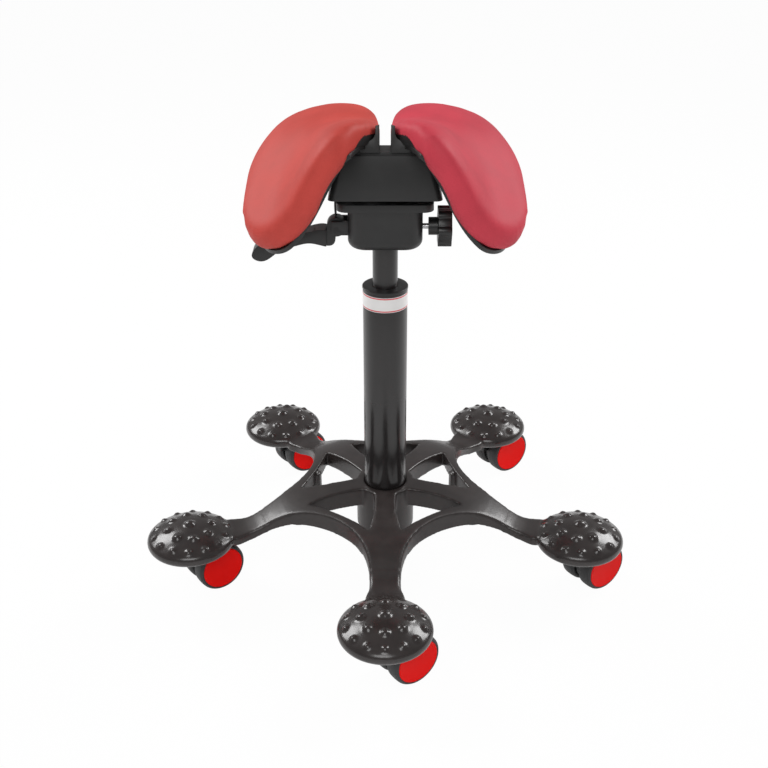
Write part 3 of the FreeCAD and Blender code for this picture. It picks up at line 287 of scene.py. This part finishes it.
def band_film():
    """Plain white film with a thin line along each edge."""
    shader = Shader("band_film", Coat_Weight=0.4, Coat_Roughness=0.1)
    height = shader.axes()[2]
    line = 0.9 * MM
    start, end = line * 0.7, line * 2.2
    lines = (
        height.within(BAND_LOW.z + start, BAND_LOW.z + end)
        + height.within(BAND_HIGH.z - end, BAND_HIGH.z - start))
    cloud = shader.noise(12 * MM)
    return shader.feed(
        Base_Color=shader.tint(lines, colours().band, colours().band_line),
        Roughness=0.3 + (cloud - 0.5) * 0.1, Normal=shader.bump(cloud, 0.03 * MM, 0.2))


def cap_plastic():
    """Glossy red plastic with a faint grain."""
    shader = Shader("cap_plastic", Coat_Weight=0.03, Coat_Roughness=0.3, Specular_IOR_Level=0.08)
    base = colours().cap
    cloud = shader.noise(14 * MM)
    return shader.feed(
        Base_Color=shader.tint(cloud, shade(base, 0.95), shade(base, 1.04)),
        Roughness=0.36 + (cloud - 0.5) * 0.08,
        Normal=shader.bump(shader.noise(0.8 * MM), 0.02 * MM, 0.3))


# Mesh helpers

WELD = 0.004 * MM                      # points nearer to each other than this are joined
FLAT_WITHIN = radians(0.6)             # faces that turn less than this are joined
CRISP_FROM = radians(28)               # edges that turn by this or more are shaded crisp
MOULDED_FROM = radians(32)             # edges that turn by more are rounded on moulded pieces
TURNED_FROM = radians(25)              # and on turned ones
BEVEL_SEGMENTS = 3
TURNED_STEPS = 112                     # faces round a turned piece


def add_object(name, data):
    made = bpy.data.objects.new(name, data)
    bpy.context.scene.collection.objects.link(made)
    return made


def object_from(work, name):
    """A new object with the mesh that has been worked on."""
    mesh = bpy.data.meshes.new(name)
    work.to_mesh(mesh)
    work.free()
    return add_object(name, mesh)


def welded(node):
    """A CAD node's mesh, ready to be worked on, with its doubled points joined."""
    work = bmesh.new()
    work.from_mesh(NODES[node].data)
    bmesh.ops.remove_doubles(work, verts=work.verts, dist=WELD)
    return work


def apply_modifier(piece, kind, **settings):
    """Add a modifier, apply it and leave the mesh as it makes it."""
    modifier = piece.modifiers.new(kind.lower(), kind)
    for key, value in settings.items():
        setattr(modifier, key, value)
    bake_modifiers(piece)


def bake_modifiers(piece):
    graph = bpy.context.evaluated_depsgraph_get()
    graph.update()
    mesh = bpy.data.meshes.new_from_object(piece.evaluated_get(graph))
    old = piece.data
    piece.modifiers.clear()
    piece.data = mesh
    bpy.data.meshes.remove(old)


def round_edges(piece, width, sharper_than):
    apply_modifier(
        piece, "BEVEL", width=width, segments=BEVEL_SEGMENTS, limit_method="ANGLE",
        angle_limit=sharper_than, use_clamp_overlap=True)


def set_smooth(piece, angle=None):
    """Smooth shading, with edges sharper than the angle left crisp."""
    mesh = piece.data
    mesh.polygons.foreach_set("use_smooth", [True] * len(mesh.polygons))
    if angle is not None:
        work = bmesh.new()
        work.from_mesh(mesh)
        for edge in work.edges:
            edge.smooth = len(edge.link_faces) == 2 and edge.calc_face_angle(0) < angle
        work.to_mesh(mesh)
        work.free()


def finish(piece, material):
    piece.data.materials.clear()
    piece.data.materials.append(material)


def stand_in(piece, node, body, material):
    """Let a finished piece show in place of a CAD node and move with its body."""
    finish(piece, material)
    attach(piece, body)
    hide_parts(node)


def softened(node, body, material, edge):
    """Stand-in for a CAD node with rounded edges."""
    work = welded(node)
    bmesh.ops.dissolve_limit(work, angle_limit=FLAT_WITHIN, verts=work.verts, edges=work.edges)
    piece = object_from(work, node + "_soft")
    round_edges(piece, edge, MOULDED_FROM)
    set_smooth(piece, CRISP_FROM)
    stand_in(piece, node, body, material)


def turned(node, body, material, profile, edge, place=None):
    """Stand-in for a round CAD node: a closed outline of (radius, height) turned about Z, then placed."""
    work = bmesh.new()
    rings = []
    for radius, height in profile:
        if radius == 0:
            rings.append([work.verts.new((0, 0, height))] * TURNED_STEPS)
        else:
            angles = [tau * i / TURNED_STEPS for i in range(TURNED_STEPS)]
            rings.append([work.verts.new((radius * cos(a), radius * sin(a), height)) for a in angles])
    for first, second in zip(rings, rings[1:] + rings[:1]):
        for i in range(TURNED_STEPS):
            j = (i + 1) % TURNED_STEPS
            corners = [first[i], first[j], second[j], second[i]]
            corners = [corner for k, corner in enumerate(corners) if corner not in corners[:k]]
            if len(corners) > 2:
                work.faces.new(corners)
    bmesh.ops.recalc_face_normals(work, faces=work.faces)
    piece = object_from(work, node + "_turned")
    if place:
        piece.data.transform(place)
    round_edges(piece, edge, TURNED_FROM)
    set_smooth(piece, CRISP_FROM)
    stand_in(piece, node, body, material)


def blend(value, start, end):
    """0 before start, 1 after end, smooth between."""
    share = min(max((value - start) / (end - start), 0), 1)
    return share * share * (3 - 2 * share)


# Casting

ARM_REACH = 0.24                       # column axis to a castor's stem
ARM_SPREAD = 72                        # degrees from one arm to the next
FRONT_ARM = -90                        # direction of the first arm in degrees
BAY_CENTRE = 0.208                     # column axis to the centre of a round bay
BAY_RADIUS = 0.1065
BAY_FLOOR = 0.062                      # height of the bay walls' lower edge
LEAN_REACH = 6 * MM                    # how far the lean fades out to each side of a wall
LEAN_END = ARM_REACH - 45 * MM

NECK_START, NECK_END = 0.122, 0.198    # radii between which an arm falls to its dome
NECK_HALF_WIDTH = 26 * MM
NECK_STEP = 2 * MM                     # spacing of the heights read along the front arm
NECK_MIDLINE = 3 * MM                  # half width of the strip that they are read in
NECK_SPREAD = 8                        # steps averaged to each side
DOME_FOOT = 0.188                      # radius at which the last height is read
LIFT_FULL, LIFT_FADES, LIFT_GONE = 0.14, 0.18, 0.193
FLARE_START, FLARE_FULL, FLARE_FADES = 0.17, 0.19, 0.188
NECK_FLARE = 0.14                      # how much wider the arm becomes at its dome
POLISH_START = 0.125


def arm_direction(arm):
    """Angle of an arm in radians, counted from the front one; half a number is the bay between two."""
    return radians(FRONT_ARM + ARM_SPREAD * arm)


class STOOL_OT_casting(Operator):
    """The base casting, with leaning bay walls and rounded cast edges"""
    bl_idname = "stool.casting"
    bl_label = "Base casting"

    def execute(self, context):
        piece = object_from(welded("base_casting"), "cast_base")
        apply_modifier(piece, "REMESH", mode="VOXEL", voxel_size=sizes().cast_voxel, adaptivity=0)
        self.lean_walls(piece.data)
        apply_modifier(piece, "SMOOTH", factor=0.5, iterations=4)
        self.ease_necks(piece.data)
        necks = piece.vertex_groups.new(name="necks")
        necks.add([
            vertex.index for vertex in piece.data.vertices
            if POLISH_START < hypot(vertex.co.x, vertex.co.y) < NECK_END], 1, "REPLACE")
        apply_modifier(piece, "SMOOTH", factor=0.5, iterations=14, vertex_group="necks")
        set_smooth(piece)
        stand_in(piece, "base_casting", "base", lacquer())
        return {"FINISHED"}

    def lean_walls(self, mesh):
        """Lean the round bay walls, more metal below than above."""
        draft = sizes().wall_draft
        directions = [arm_direction(k + 0.5) for k in range(len(CASTORS))]
        bays = [(BAY_CENTRE * cos(a), BAY_CENTRE * sin(a)) for a in directions]
        for vertex in mesh.vertices:
            point = vertex.co
            for bay_x, bay_y in bays:
                away = Vector((point.x - bay_x, point.y - bay_y, 0))
                beyond = away.length - BAY_RADIUS
                if abs(beyond) < LEAN_REACH and hypot(point.x, point.y) < LEAN_END:
                    share = 2 * (point.z - BAY_FLOOR) / (CASTING_TOP - BAY_FLOOR) - 1
                    hold = 1 - abs(beyond) / LEAN_REACH
                    vertex.co += away.normalized() * draft * share * hold
                    break

    def neck_lifts(self, mesh):
        """How far each step along the front arm's top is raised or lowered to even out its fall."""
        tops = {}
        for vertex in mesh.vertices:
            if abs(vertex.co.x) < NECK_MIDLINE and vertex.co.y < 0:
                k = round(-vertex.co.y / NECK_STEP)
                tops[k] = max(tops.get(k, 0), vertex.co.z)
        first, last = round(NECK_START / NECK_STEP) - 1, round(DOME_FOOT / NECK_STEP)
        lifts = {}
        for k in range(first, last + NECK_SPREAD + 1):
            near = [tops[min(j, last)] for j in range(k - NECK_SPREAD, k + NECK_SPREAD + 1)]
            lifts[k] = sum(near) / len(near) - tops[min(k, last)]
        return lifts

    def ease_necks(self, mesh):
        """Even out each arm's fall to its dome, and flare the arm where it meets it."""
        lifts = self.neck_lifts(mesh)
        for vertex in mesh.vertices:
            point = vertex.co
            radius = hypot(point.x, point.y)
            if not NECK_START < radius < NECK_END:
                continue
            nearest = round((degrees(atan2(point.y, point.x)) - FRONT_ARM) / ARM_SPREAD)
            arm = arm_direction(nearest)
            beside = point.y * cos(arm) - point.x * sin(arm)
            if abs(beside) > NECK_HALF_WIDTH:
                continue
            k = int(radius / NECK_STEP)
            share = radius / NECK_STEP - k
            lift = lifts[k] * (1 - share) + lifts[k + 1] * share
            lift *= blend(radius, NECK_START, LIFT_FULL) * (1 - blend(radius, LIFT_FADES, LIFT_GONE))
            flare = blend(radius, FLARE_START, FLARE_FULL) * (1 - blend(radius, FLARE_FADES, NECK_END))
            sideways = Vector((-sin(arm), cos(arm), 0)) * beside
            vertex.co += sideways * NECK_FLARE * flare + Vector((0, 0, lift))


# Pads

SEAT_FRONT = 0.105                     # column axis to the pads' front end
SEAT_BACK = 0.122
INNER_EDGE = 0.005                     # middle of the seat to the pad, half the gap
OUTER_EDGE = 0.16
WING_MIDDLE = 0.075
PAD_THICKNESS = 0.0366
THINNEST = 0.2 * MM                    # smallest half width and half thickness of the skin

FRONT_TOP = 0.569                      # height of the front end beside the gap
FRONT_DROP = 0.119                     # how far it falls to its outer edge
FRONT_SHOULDER = 0.088                 # middle of the seat to the middle of that fall
FRONT_ROUNDING = 0.015
BACK_TOP = 0.54                        # height of the back, where it is level beside the gap
BACK_DROP = 0.067
BACK_LEVEL = 0.02                      # how far out the back stays level
BACK_POWER = 3.2
SLOPE_START = -SEAT_FRONT + 0.01       # along the seat, where the front begins to turn into the back
SLOPE_END = SEAT_BACK * 0.57

FRONT_PLAN = (1.9, 2.2)                # squareness in plan, inner and outer edge
BACK_PLAN = (4, 4)
END_POWER = 6                          # how late the thickness falls off at the ends
SECTION_POWER = 0.45                   # 1 is an elliptic section, less is squarer

BLACK_FROM = 0.5                       # share of the thickness below which the pad is black
BLACK_SHIFT = 0.6                      # how much further down that starts away from the gap
SHIFT_START, SHIFT_END = 0.02, 0.042
SKIN_INSET = 0.3                       # share of the swell by which the skin starts smaller
STATIONS, ROUND = 44, 64               # rings along the pad, and points round each
LAST_RING = 0.9995                     # how near the end rings come to the tips


def seat_top(x, y):
    """Height of the wings' top surface, with rounder shoulders than the CAD."""
    front = FRONT_TOP - FRONT_DROP / (1 + exp(-(x - FRONT_SHOULDER) / FRONT_ROUNDING))
    back = BACK_TOP - BACK_DROP * (max(x - BACK_LEVEL, 0) / (OUTER_EDGE - BACK_LEVEL)) ** BACK_POWER
    share = blend(y, SLOPE_START, SLOPE_END)
    return front * (1 - share) + back * share


def seat_slope(x, y):
    """Rise of the wings' top surface for each unit outwards."""
    step = 0.5 * MM
    return (seat_top(x + step, y) - seat_top(x - step, y)) / (2 * step)


def rounded_off(share, power):
    """Half width of a rounded outline, from 1 in its middle to 0 at its ends."""
    return max(1 - abs(share) ** power, 0) ** (1 / power)


def squarer(value):
    """A sine or cosine pushed out, which turns an ellipse into a rounded rectangle."""
    return copysign(abs(value) ** SECTION_POWER, value)


def pad_point(share, angle, inset):
    """A point of the right pad's skin: share runs from front to back, the angle round the section."""
    y = (SEAT_BACK - SEAT_FRONT) / 2 + share * ((SEAT_BACK + SEAT_FRONT) / 2 - inset)
    inner_power, outer_power = FRONT_PLAN if share < 0 else BACK_PLAN
    inner = WING_MIDDLE - (WING_MIDDLE - INNER_EDGE) * rounded_off(share, inner_power)
    outer = WING_MIDDLE + (OUTER_EDGE - WING_MIDDLE) * rounded_off(share, outer_power)
    x = (inner + outer) / 2 + max((outer - inner) / 2 - inset, THINNEST) * squarer(cos(angle))
    half = PAD_THICKNESS / 2
    depth = half - max(half * rounded_off(share, END_POWER) - inset, THINNEST) * squarer(sin(angle))
    slope = seat_slope(x, y)
    unit = hypot(slope, 1)
    return Vector((x + depth * slope / unit, y, seat_top(x, y) - depth / unit))


def is_underside(point):
    """Whether a point of a pad lies on its black underside, which comes up higher beside the gap."""
    x, y = abs(point.x), point.y
    depth = (seat_top(x, y) - point.z) / hypot(seat_slope(x, y), 1)
    return depth > PAD_THICKNESS * (BLACK_FROM + BLACK_SHIFT * blend(x, SHIFT_START, SHIFT_END))


class STOOL_OT_pads(Operator):
    """The two leather pads, swollen by a cloth simulation"""
    bl_idname = "stool.pads"
    bl_label = "Seat pads"

    def execute(self, context):
        under = moulded("underside", colours().plastic, 0.5)
        right = self.skin("leather_pad_right")
        self.swell(right)
        apply_modifier(right, "SMOOTH", factor=0.5, iterations=14)
        apply_modifier(right, "SUBSURF", levels=2, render_levels=2)
        left = add_object("leather_pad_left", right.data.copy())
        left.data.transform(Matrix.Scale(-1, 4, (1, 0, 0)))
        left.data.flip_normals()
        for side, piece, base in (
                ("right", right, colours().leather_right), ("left", left, colours().leather_left)):
            set_smooth(piece)
            stand_in(piece, "seat_pad_" + side, "seat", leather("leather_" + side, base))
            piece.data.materials.append(under)
            for face in piece.data.polygons:
                face.material_index = int(is_underside(face.center))
        return {"FINISHED"}

    def skin(self, name):
        """Closed skin of the right pad, a little smaller than the foam will make it."""
        inset = sizes().pad_swell * SKIN_INSET
        work = bmesh.new()
        rings = []
        for k in range(STATIONS):
            share = LAST_RING * sin(pi * (k / (STATIONS - 1) - 0.5))
            rings.append([work.verts.new(pad_point(share, tau * i / ROUND, inset)) for i in range(ROUND)])
        for first, second in zip(rings, rings[1:]):
            for i in range(ROUND):
                j = (i + 1) % ROUND
                work.faces.new((first[i], first[j], second[j], second[i]))
        work.faces.new(list(reversed(rings[0])))
        work.faces.new(rings[-1])
        bmesh.ops.recalc_face_normals(work, faces=work.faces)
        piece = object_from(work, name)
        apply_modifier(piece, "REMESH", mode="VOXEL", voxel_size=sizes().pad_voxel, adaptivity=0)
        return piece

    def swell(self, piece):
        """Blow the skin up a little, and cap how far each point may move."""
        scene = bpy.context.scene
        before = [vertex.co.copy() for vertex in piece.data.vertices]
        cloth = piece.modifiers.new("cloth", "CLOTH")
        cloth.settings.use_pressure = True
        cloth.settings.uniform_pressure_force = 4
        cloth.settings.tension_stiffness = 25
        cloth.settings.bending_stiffness = 4
        cloth.settings.effector_weights.gravity = 0
        cloth.point_cache.frame_start = 1
        cloth.point_cache.frame_end = sizes().pad_frames
        for number in range(1, sizes().pad_frames + 1):
            scene.frame_set(number)
        bake_modifiers(piece)
        scene.frame_set(1)
        cap = sizes().pad_swell
        for vertex, start in zip(piece.data.vertices, before):
            move = vertex.co - start
            if move.length > cap:
                vertex.co = start + move.normalized() * cap


# Head and column

PRESS_FIT = 0.02 * MM
SLIDE_FIT = 0.05 * MM
TUBE_WALL = 2 * MM
CYLINDER_WALL = 1.5 * MM
FILM_EDGE = 0.1 * MM


class STOOL_OT_head(Operator):
    """Housings, lever, knob and pans with moulded edges"""
    bl_idname = "stool.head"
    bl_label = "Head"

    def execute(self, context):
        plastic = moulded("black_plastic", colours().plastic, 0.42)
        knob = moulded("knob_plastic", colours().plastic, 0.36)
        edge = sizes().plastic_edge
        for node, body, material, width in (
                ("lower_housing", "head", plastic, edge), ("tilt_housing", "seat", plastic, edge),
                ("height_lever", "lever", knob, edge * 1.6), ("tilt_knob", "knob", knob, edge),
                ("seat_pan_left", "seat", plastic, edge * 0.7),
                ("seat_pan_right", "seat", plastic, edge * 0.7)):
            softened(node, body, material, width)
        return {"FINISHED"}


class STOOL_OT_column(Operator):
    """Tube, bush, band and gas cylinder"""
    bl_idname = "stool.column"
    bl_label = "Column"

    def execute(self, context):
        tube = tube_lacquer()
        edge = sizes().metal_edge
        radius = TUBE_HIGH.x
        inside = radius - TUBE_WALL
        turned("outer_tube", "base", tube, [
            (inside, TUBE_LOW.z), (radius, TUBE_LOW.z), (radius, TUBE_HIGH.z), (inside, TUBE_HIGH.z)],
            edge)
        low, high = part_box("gas_cylinder")
        cylinder, hollow = high.x, high.x - CYLINDER_WALL
        turned("gas_cylinder", "head", tube, [
            (hollow, low.z), (cylinder, low.z), (cylinder, high.z), (hollow, high.z)], edge)
        low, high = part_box("guide_bush")
        bore, sleeve = cylinder + SLIDE_FIT, inside - PRESS_FIT
        turned("guide_bush", "base", moulded("bush_plastic", colours().plastic, 0.4), [
            (bore, low.z), (sleeve, low.z), (sleeve, TUBE_HIGH.z), (high.x, TUBE_HIGH.z),
            (high.x, high.z), (bore, high.z)], 2 * edge)
        film, face = radius + PRESS_FIT, BAND_HIGH.x
        turned("column_band", "base", band_film(), [
            (film, BAND_LOW.z), (face, BAND_LOW.z), (face, BAND_HIGH.z), (film, BAND_HIGH.z)], FILM_EDGE)
        return {"FINISHED"}


# Castors

SIDES = {"near": -1, "far": 1}         # which side of the hood each wheel is on
WHEEL_RADIUS = 30 * MM
WHEEL_WIDTH = 19 * MM
WHEEL_GAP = 8 * MM
WHEEL_BORE = 4.05 * MM
HUB_RADIUS = 8 * MM
RIM_INSIDE = 25 * MM
WEB = 3 * MM
SHOULDER = 2.6 * MM                    # how far the tread's corners are cut back, both ways
CROWN = 0.5 * MM                       # how much lower the tread is at its sides
CROWN_STEPS = 6
CAP_RADIUS = 25.6 * MM
CAP_RECESS = 2 * MM
CAP_PROUD = 0.5 * MM
CAP_EDGE = 0.15 * MM
CAP_CHAMFER = 0.7 * MM
STEP_START, STEP_END = 1.8 * MM, 2.1 * MM    # from the cap's rim inwards
STEP_DEPTH = 0.25 * MM
CASTOR_TRAIL = 27 * MM
CASTOR_HEADING = radians(36.7)


def hub_place(castor, side):
    """From a wheel's own frame, with its inner face at 0 on Z, to its place."""
    arm = arm_direction(castor - 1)
    return (
        Matrix.Translation((ARM_REACH * cos(arm), ARM_REACH * sin(arm), 0))
        @ Matrix.Rotation(CASTOR_HEADING, 4, "Z")
        @ Matrix.Translation((CASTOR_TRAIL, SIDES[side] * WHEEL_GAP / 2, WHEEL_RADIUS))
        @ Matrix.Rotation(-SIDES[side] * pi / 2, 4, "X"))


def wheel_outline():
    """Crowned tread, hub and web, and the recess that the cap sits in."""
    radius, width = WHEEL_RADIUS, WHEEL_WIDTH
    floor = width - CAP_RECESS
    recess = CAP_RADIUS + PRESS_FIT
    tread = [
        (radius - CROWN * (2 * k / CROWN_STEPS - 1) ** 2,
         SHOULDER + (width - 2 * SHOULDER) * k / CROWN_STEPS) for k in range(CROWN_STEPS + 1)]
    return [
        (WHEEL_BORE, 0), (HUB_RADIUS, 0), (HUB_RADIUS, floor - WEB), (RIM_INSIDE, floor - WEB),
        (RIM_INSIDE, 0), (radius - SHOULDER, 0), *tread, (radius - SHOULDER, width), (recess, width),
        (recess, floor), (WHEEL_BORE, floor)]


def cap_outline():
    """A flat disc with a fine step inside its rim."""
    low, top = WHEEL_WIDTH - CAP_RECESS + PRESS_FIT, WHEEL_WIDTH + CAP_PROUD
    return [
        (0, low), (CAP_RADIUS, low), (CAP_RADIUS, top - CAP_CHAMFER), (CAP_RADIUS - CAP_CHAMFER, top),
        (CAP_RADIUS - STEP_START, top), (CAP_RADIUS - STEP_END, top - STEP_DEPTH), (0, top - STEP_DEPTH)]


class STOOL_OT_castors(Operator):
    """Wheels, caps and hoods of the five castors"""
    bl_idname = "stool.castors"
    bl_label = "Castors"

    def execute(self, context):
        tread = moulded("castor_tread", colours().tread, 0.5, 0.7 * MM)
        nylon = moulded("castor_nylon", colours().plastic, 0.32)
        red = cap_plastic()
        edge = sizes().plastic_edge * 0.6
        for i in CASTORS:
            castor = f"castor_{i}"
            softened(castor + "_fork", castor, nylon, edge)
            for side in SIDES:
                body = f"{castor}_{side}"
                place = hub_place(i, side)
                turned(f"{castor}_wheel_{side}", body, tread, wheel_outline(), edge, place)
                turned(f"{castor}_cap_{side}", body, red, cap_outline(), CAP_EDGE, place)
        return {"FINISHED"}


class STOOL_OT_inner(Operator):
    """Finishes of the steel pieces and the cable, which stay as the frame has them"""
    bl_idname = "stool.inner"
    bl_label = "Inner pieces"

    def execute(self, context):
        metal = steel()
        coat = moulded("powder_coat", colours().plastic, 0.5, 0.3 * MM, 0.04 * MM)
        cable = moulded("cable_cover", colours().plastic, 0.45)
        for node in (
                "piston_rod", "thrust_bearing", "retaining_clip", "pivot_pin",
                "release_pin", "release_rocker", "knob_spindle", "carrier_screws", "pan_screws",
                *(f"castor_{i}_{piece}" for i in CASTORS for piece in ("stem", "axle"))):
            finish(NODES[node], metal)
        for node in ("seat_carrier", "lever_and_rocker_pins"):
            finish(NODES[node], coat)
        finish(NODES["lever_cable"], cable)
        return {"FINISHED"}


# Stage

LAMP_TARGET = (0, 0, 0.3)
LAMPS = (                              # name, place, width, height and power in watts
    ("left", (-1.5, 0.95, 1.5), 0.8, 1.0, 26),
    ("right", (1.5, 0.95, 1.45), 0.7, 1.0, 25),
    ("front", (-0.2, -1.7, 1.7), 1.2, 1.0, 17))
ROOM_LIGHT = 0.3
FLOOR_HALF = 6.0
FLOOR_GREY = 0.9
FLOOR_SEEN_WHITE = 0.97                # what is left of 1 shows the shadow
FLOOR_REFLECTED_WHITE = 0.3
WHITE = (1, 1, 1, 1)
IMAGE_WIDTH = 768                      # pixels, as is the camera's shift
SHIFT_RIGHT, SHIFT_UP = -1.2, 9.8
SENSOR_WIDTH = 36


def add_lamp(name, place, width, height, power):
    data = bpy.data.lights.new(name, "AREA")
    data.shape = "RECTANGLE"
    data.size = width
    data.size_y = height
    data.energy = power
    lamp = add_object(name, data)
    lamp.location = place
    lamp.rotation_euler = (Vector(LAMP_TARGET) - Vector(place)).to_track_quat("-Z", "Y").to_euler()


class STOOL_OT_stage(Operator):
    """Pale floor, soft studio light and the camera"""
    bl_idname = "stool.stage"
    bl_label = "Stage"

    def execute(self, context):
        self.floor()
        self.world()
        for lamp in LAMPS:
            add_lamp(*lamp)
        self.camera()
        context.scene.view_settings.view_transform = "Standard"
        return {"FINISHED"}

    def floor(self):
        """A pale floor that rays from the camera see as nearly white, and reflections less so."""
        mesh = bpy.data.meshes.new("floor")
        corners = [(-1, -1), (1, -1), (1, 1), (-1, 1)]
        mesh.from_pydata([(x * FLOOR_HALF, y * FLOOR_HALF, 0) for x, y in corners], [], [(0, 1, 2, 3)])
        floor = add_object("floor", mesh)
        shader = Shader("pale_floor", Roughness=0.9, Base_Color=(FLOOR_GREY, FLOOR_GREY, FLOOR_GREY, 1))
        nodes, links = shader.tree.nodes, shader.tree.links
        paths = nodes.new("ShaderNodeLightPath")
        seen = Wire(shader, paths.outputs["Is Camera Ray"])
        reflected = Wire(shader, paths.outputs["Is Glossy Ray"])
        glow = nodes.new("ShaderNodeEmission")
        glow.inputs["Color"].default_value = WHITE
        mix = nodes.new("ShaderNodeMixShader")
        share = seen * FLOOR_SEEN_WHITE + reflected * FLOOR_REFLECTED_WHITE
        links.new(share.socket, mix.inputs[0])
        links.new(shader.surface.outputs[0], mix.inputs[1])
        links.new(glow.outputs[0], mix.inputs[2])
        links.new(mix.outputs[0], nodes["Material Output"].inputs["Surface"])
        finish(floor, shader.material)

    def world(self):
        """A room that lights the object softly and shows as white."""
        world = bpy.data.worlds.new("studio")
        bpy.context.scene.world = world
        world.use_nodes = True
        nodes, links = world.node_tree.nodes, world.node_tree.links
        paths = nodes.new("ShaderNodeLightPath")
        lit = nodes["Background"]
        white = nodes.new("ShaderNodeBackground")
        for background, strength in ((lit, ROOM_LIGHT), (white, 1)):
            background.inputs["Color"].default_value = WHITE
            background.inputs["Strength"].default_value = strength
        mix = nodes.new("ShaderNodeMixShader")
        links.new(paths.outputs["Is Camera Ray"], mix.inputs[0])
        links.new(lit.outputs[0], mix.inputs[1])
        links.new(white.outputs[0], mix.inputs[2])
        links.new(mix.outputs[0], nodes["World Output"].inputs["Surface"])

    def camera(self):
        data = bpy.data.cameras.new("camera")
        data.lens = sizes().lens
        data.sensor_width = SENSOR_WIDTH
        data.shift_x = SHIFT_RIGHT / IMAGE_WIDTH
        data.shift_y = SHIFT_UP / IMAGE_WIDTH
        camera = add_object("camera", data)
        camera.location = (0, -sizes().camera_back, sizes().camera_height)
        camera.rotation_euler = (pi / 2 - sizes().camera_pitch, 0, 0)
        bpy.context.scene.camera = camera


OPERATORS = (
    STOOL_OT_casting, STOOL_OT_pads, STOOL_OT_head, STOOL_OT_column, STOOL_OT_castors, STOOL_OT_inner,
    STOOL_OT_stage)


class STOOL_PT_panel(Panel):
    bl_label = "Saddle stool"
    bl_idname = "STOOL_PT_panel"
    bl_space_type = "VIEW_3D"
    bl_region_type = "UI"
    bl_category = "Stool"

    def draw(self, context):
        for group in (context.scene.stool_sizes, context.scene.stool_colours):
            column = self.layout.column(align=True)
            for name in group.__annotations__:
                column.prop(group, name)
        for operator in OPERATORS:
            self.layout.operator(operator.bl_idname)


CLASSES = (StoolSizes, StoolColours, *OPERATORS, STOOL_PT_panel)


def register():
    for kind in CLASSES:
        bpy.utils.register_class(kind)
    bpy.types.Scene.stool_sizes = PointerProperty(type=StoolSizes)
    bpy.types.Scene.stool_colours = PointerProperty(type=StoolColours)


def unregister():
    del bpy.types.Scene.stool_colours
    del bpy.types.Scene.stool_sizes
    for kind in reversed(CLASSES):
        bpy.utils.unregister_class(kind)


def main():
    register()
    for operator in OPERATORS:
        group, name = operator.bl_idname.split(".")
        getattr(getattr(bpy.ops, group), name)()


if __name__ == "__main__":
    main()
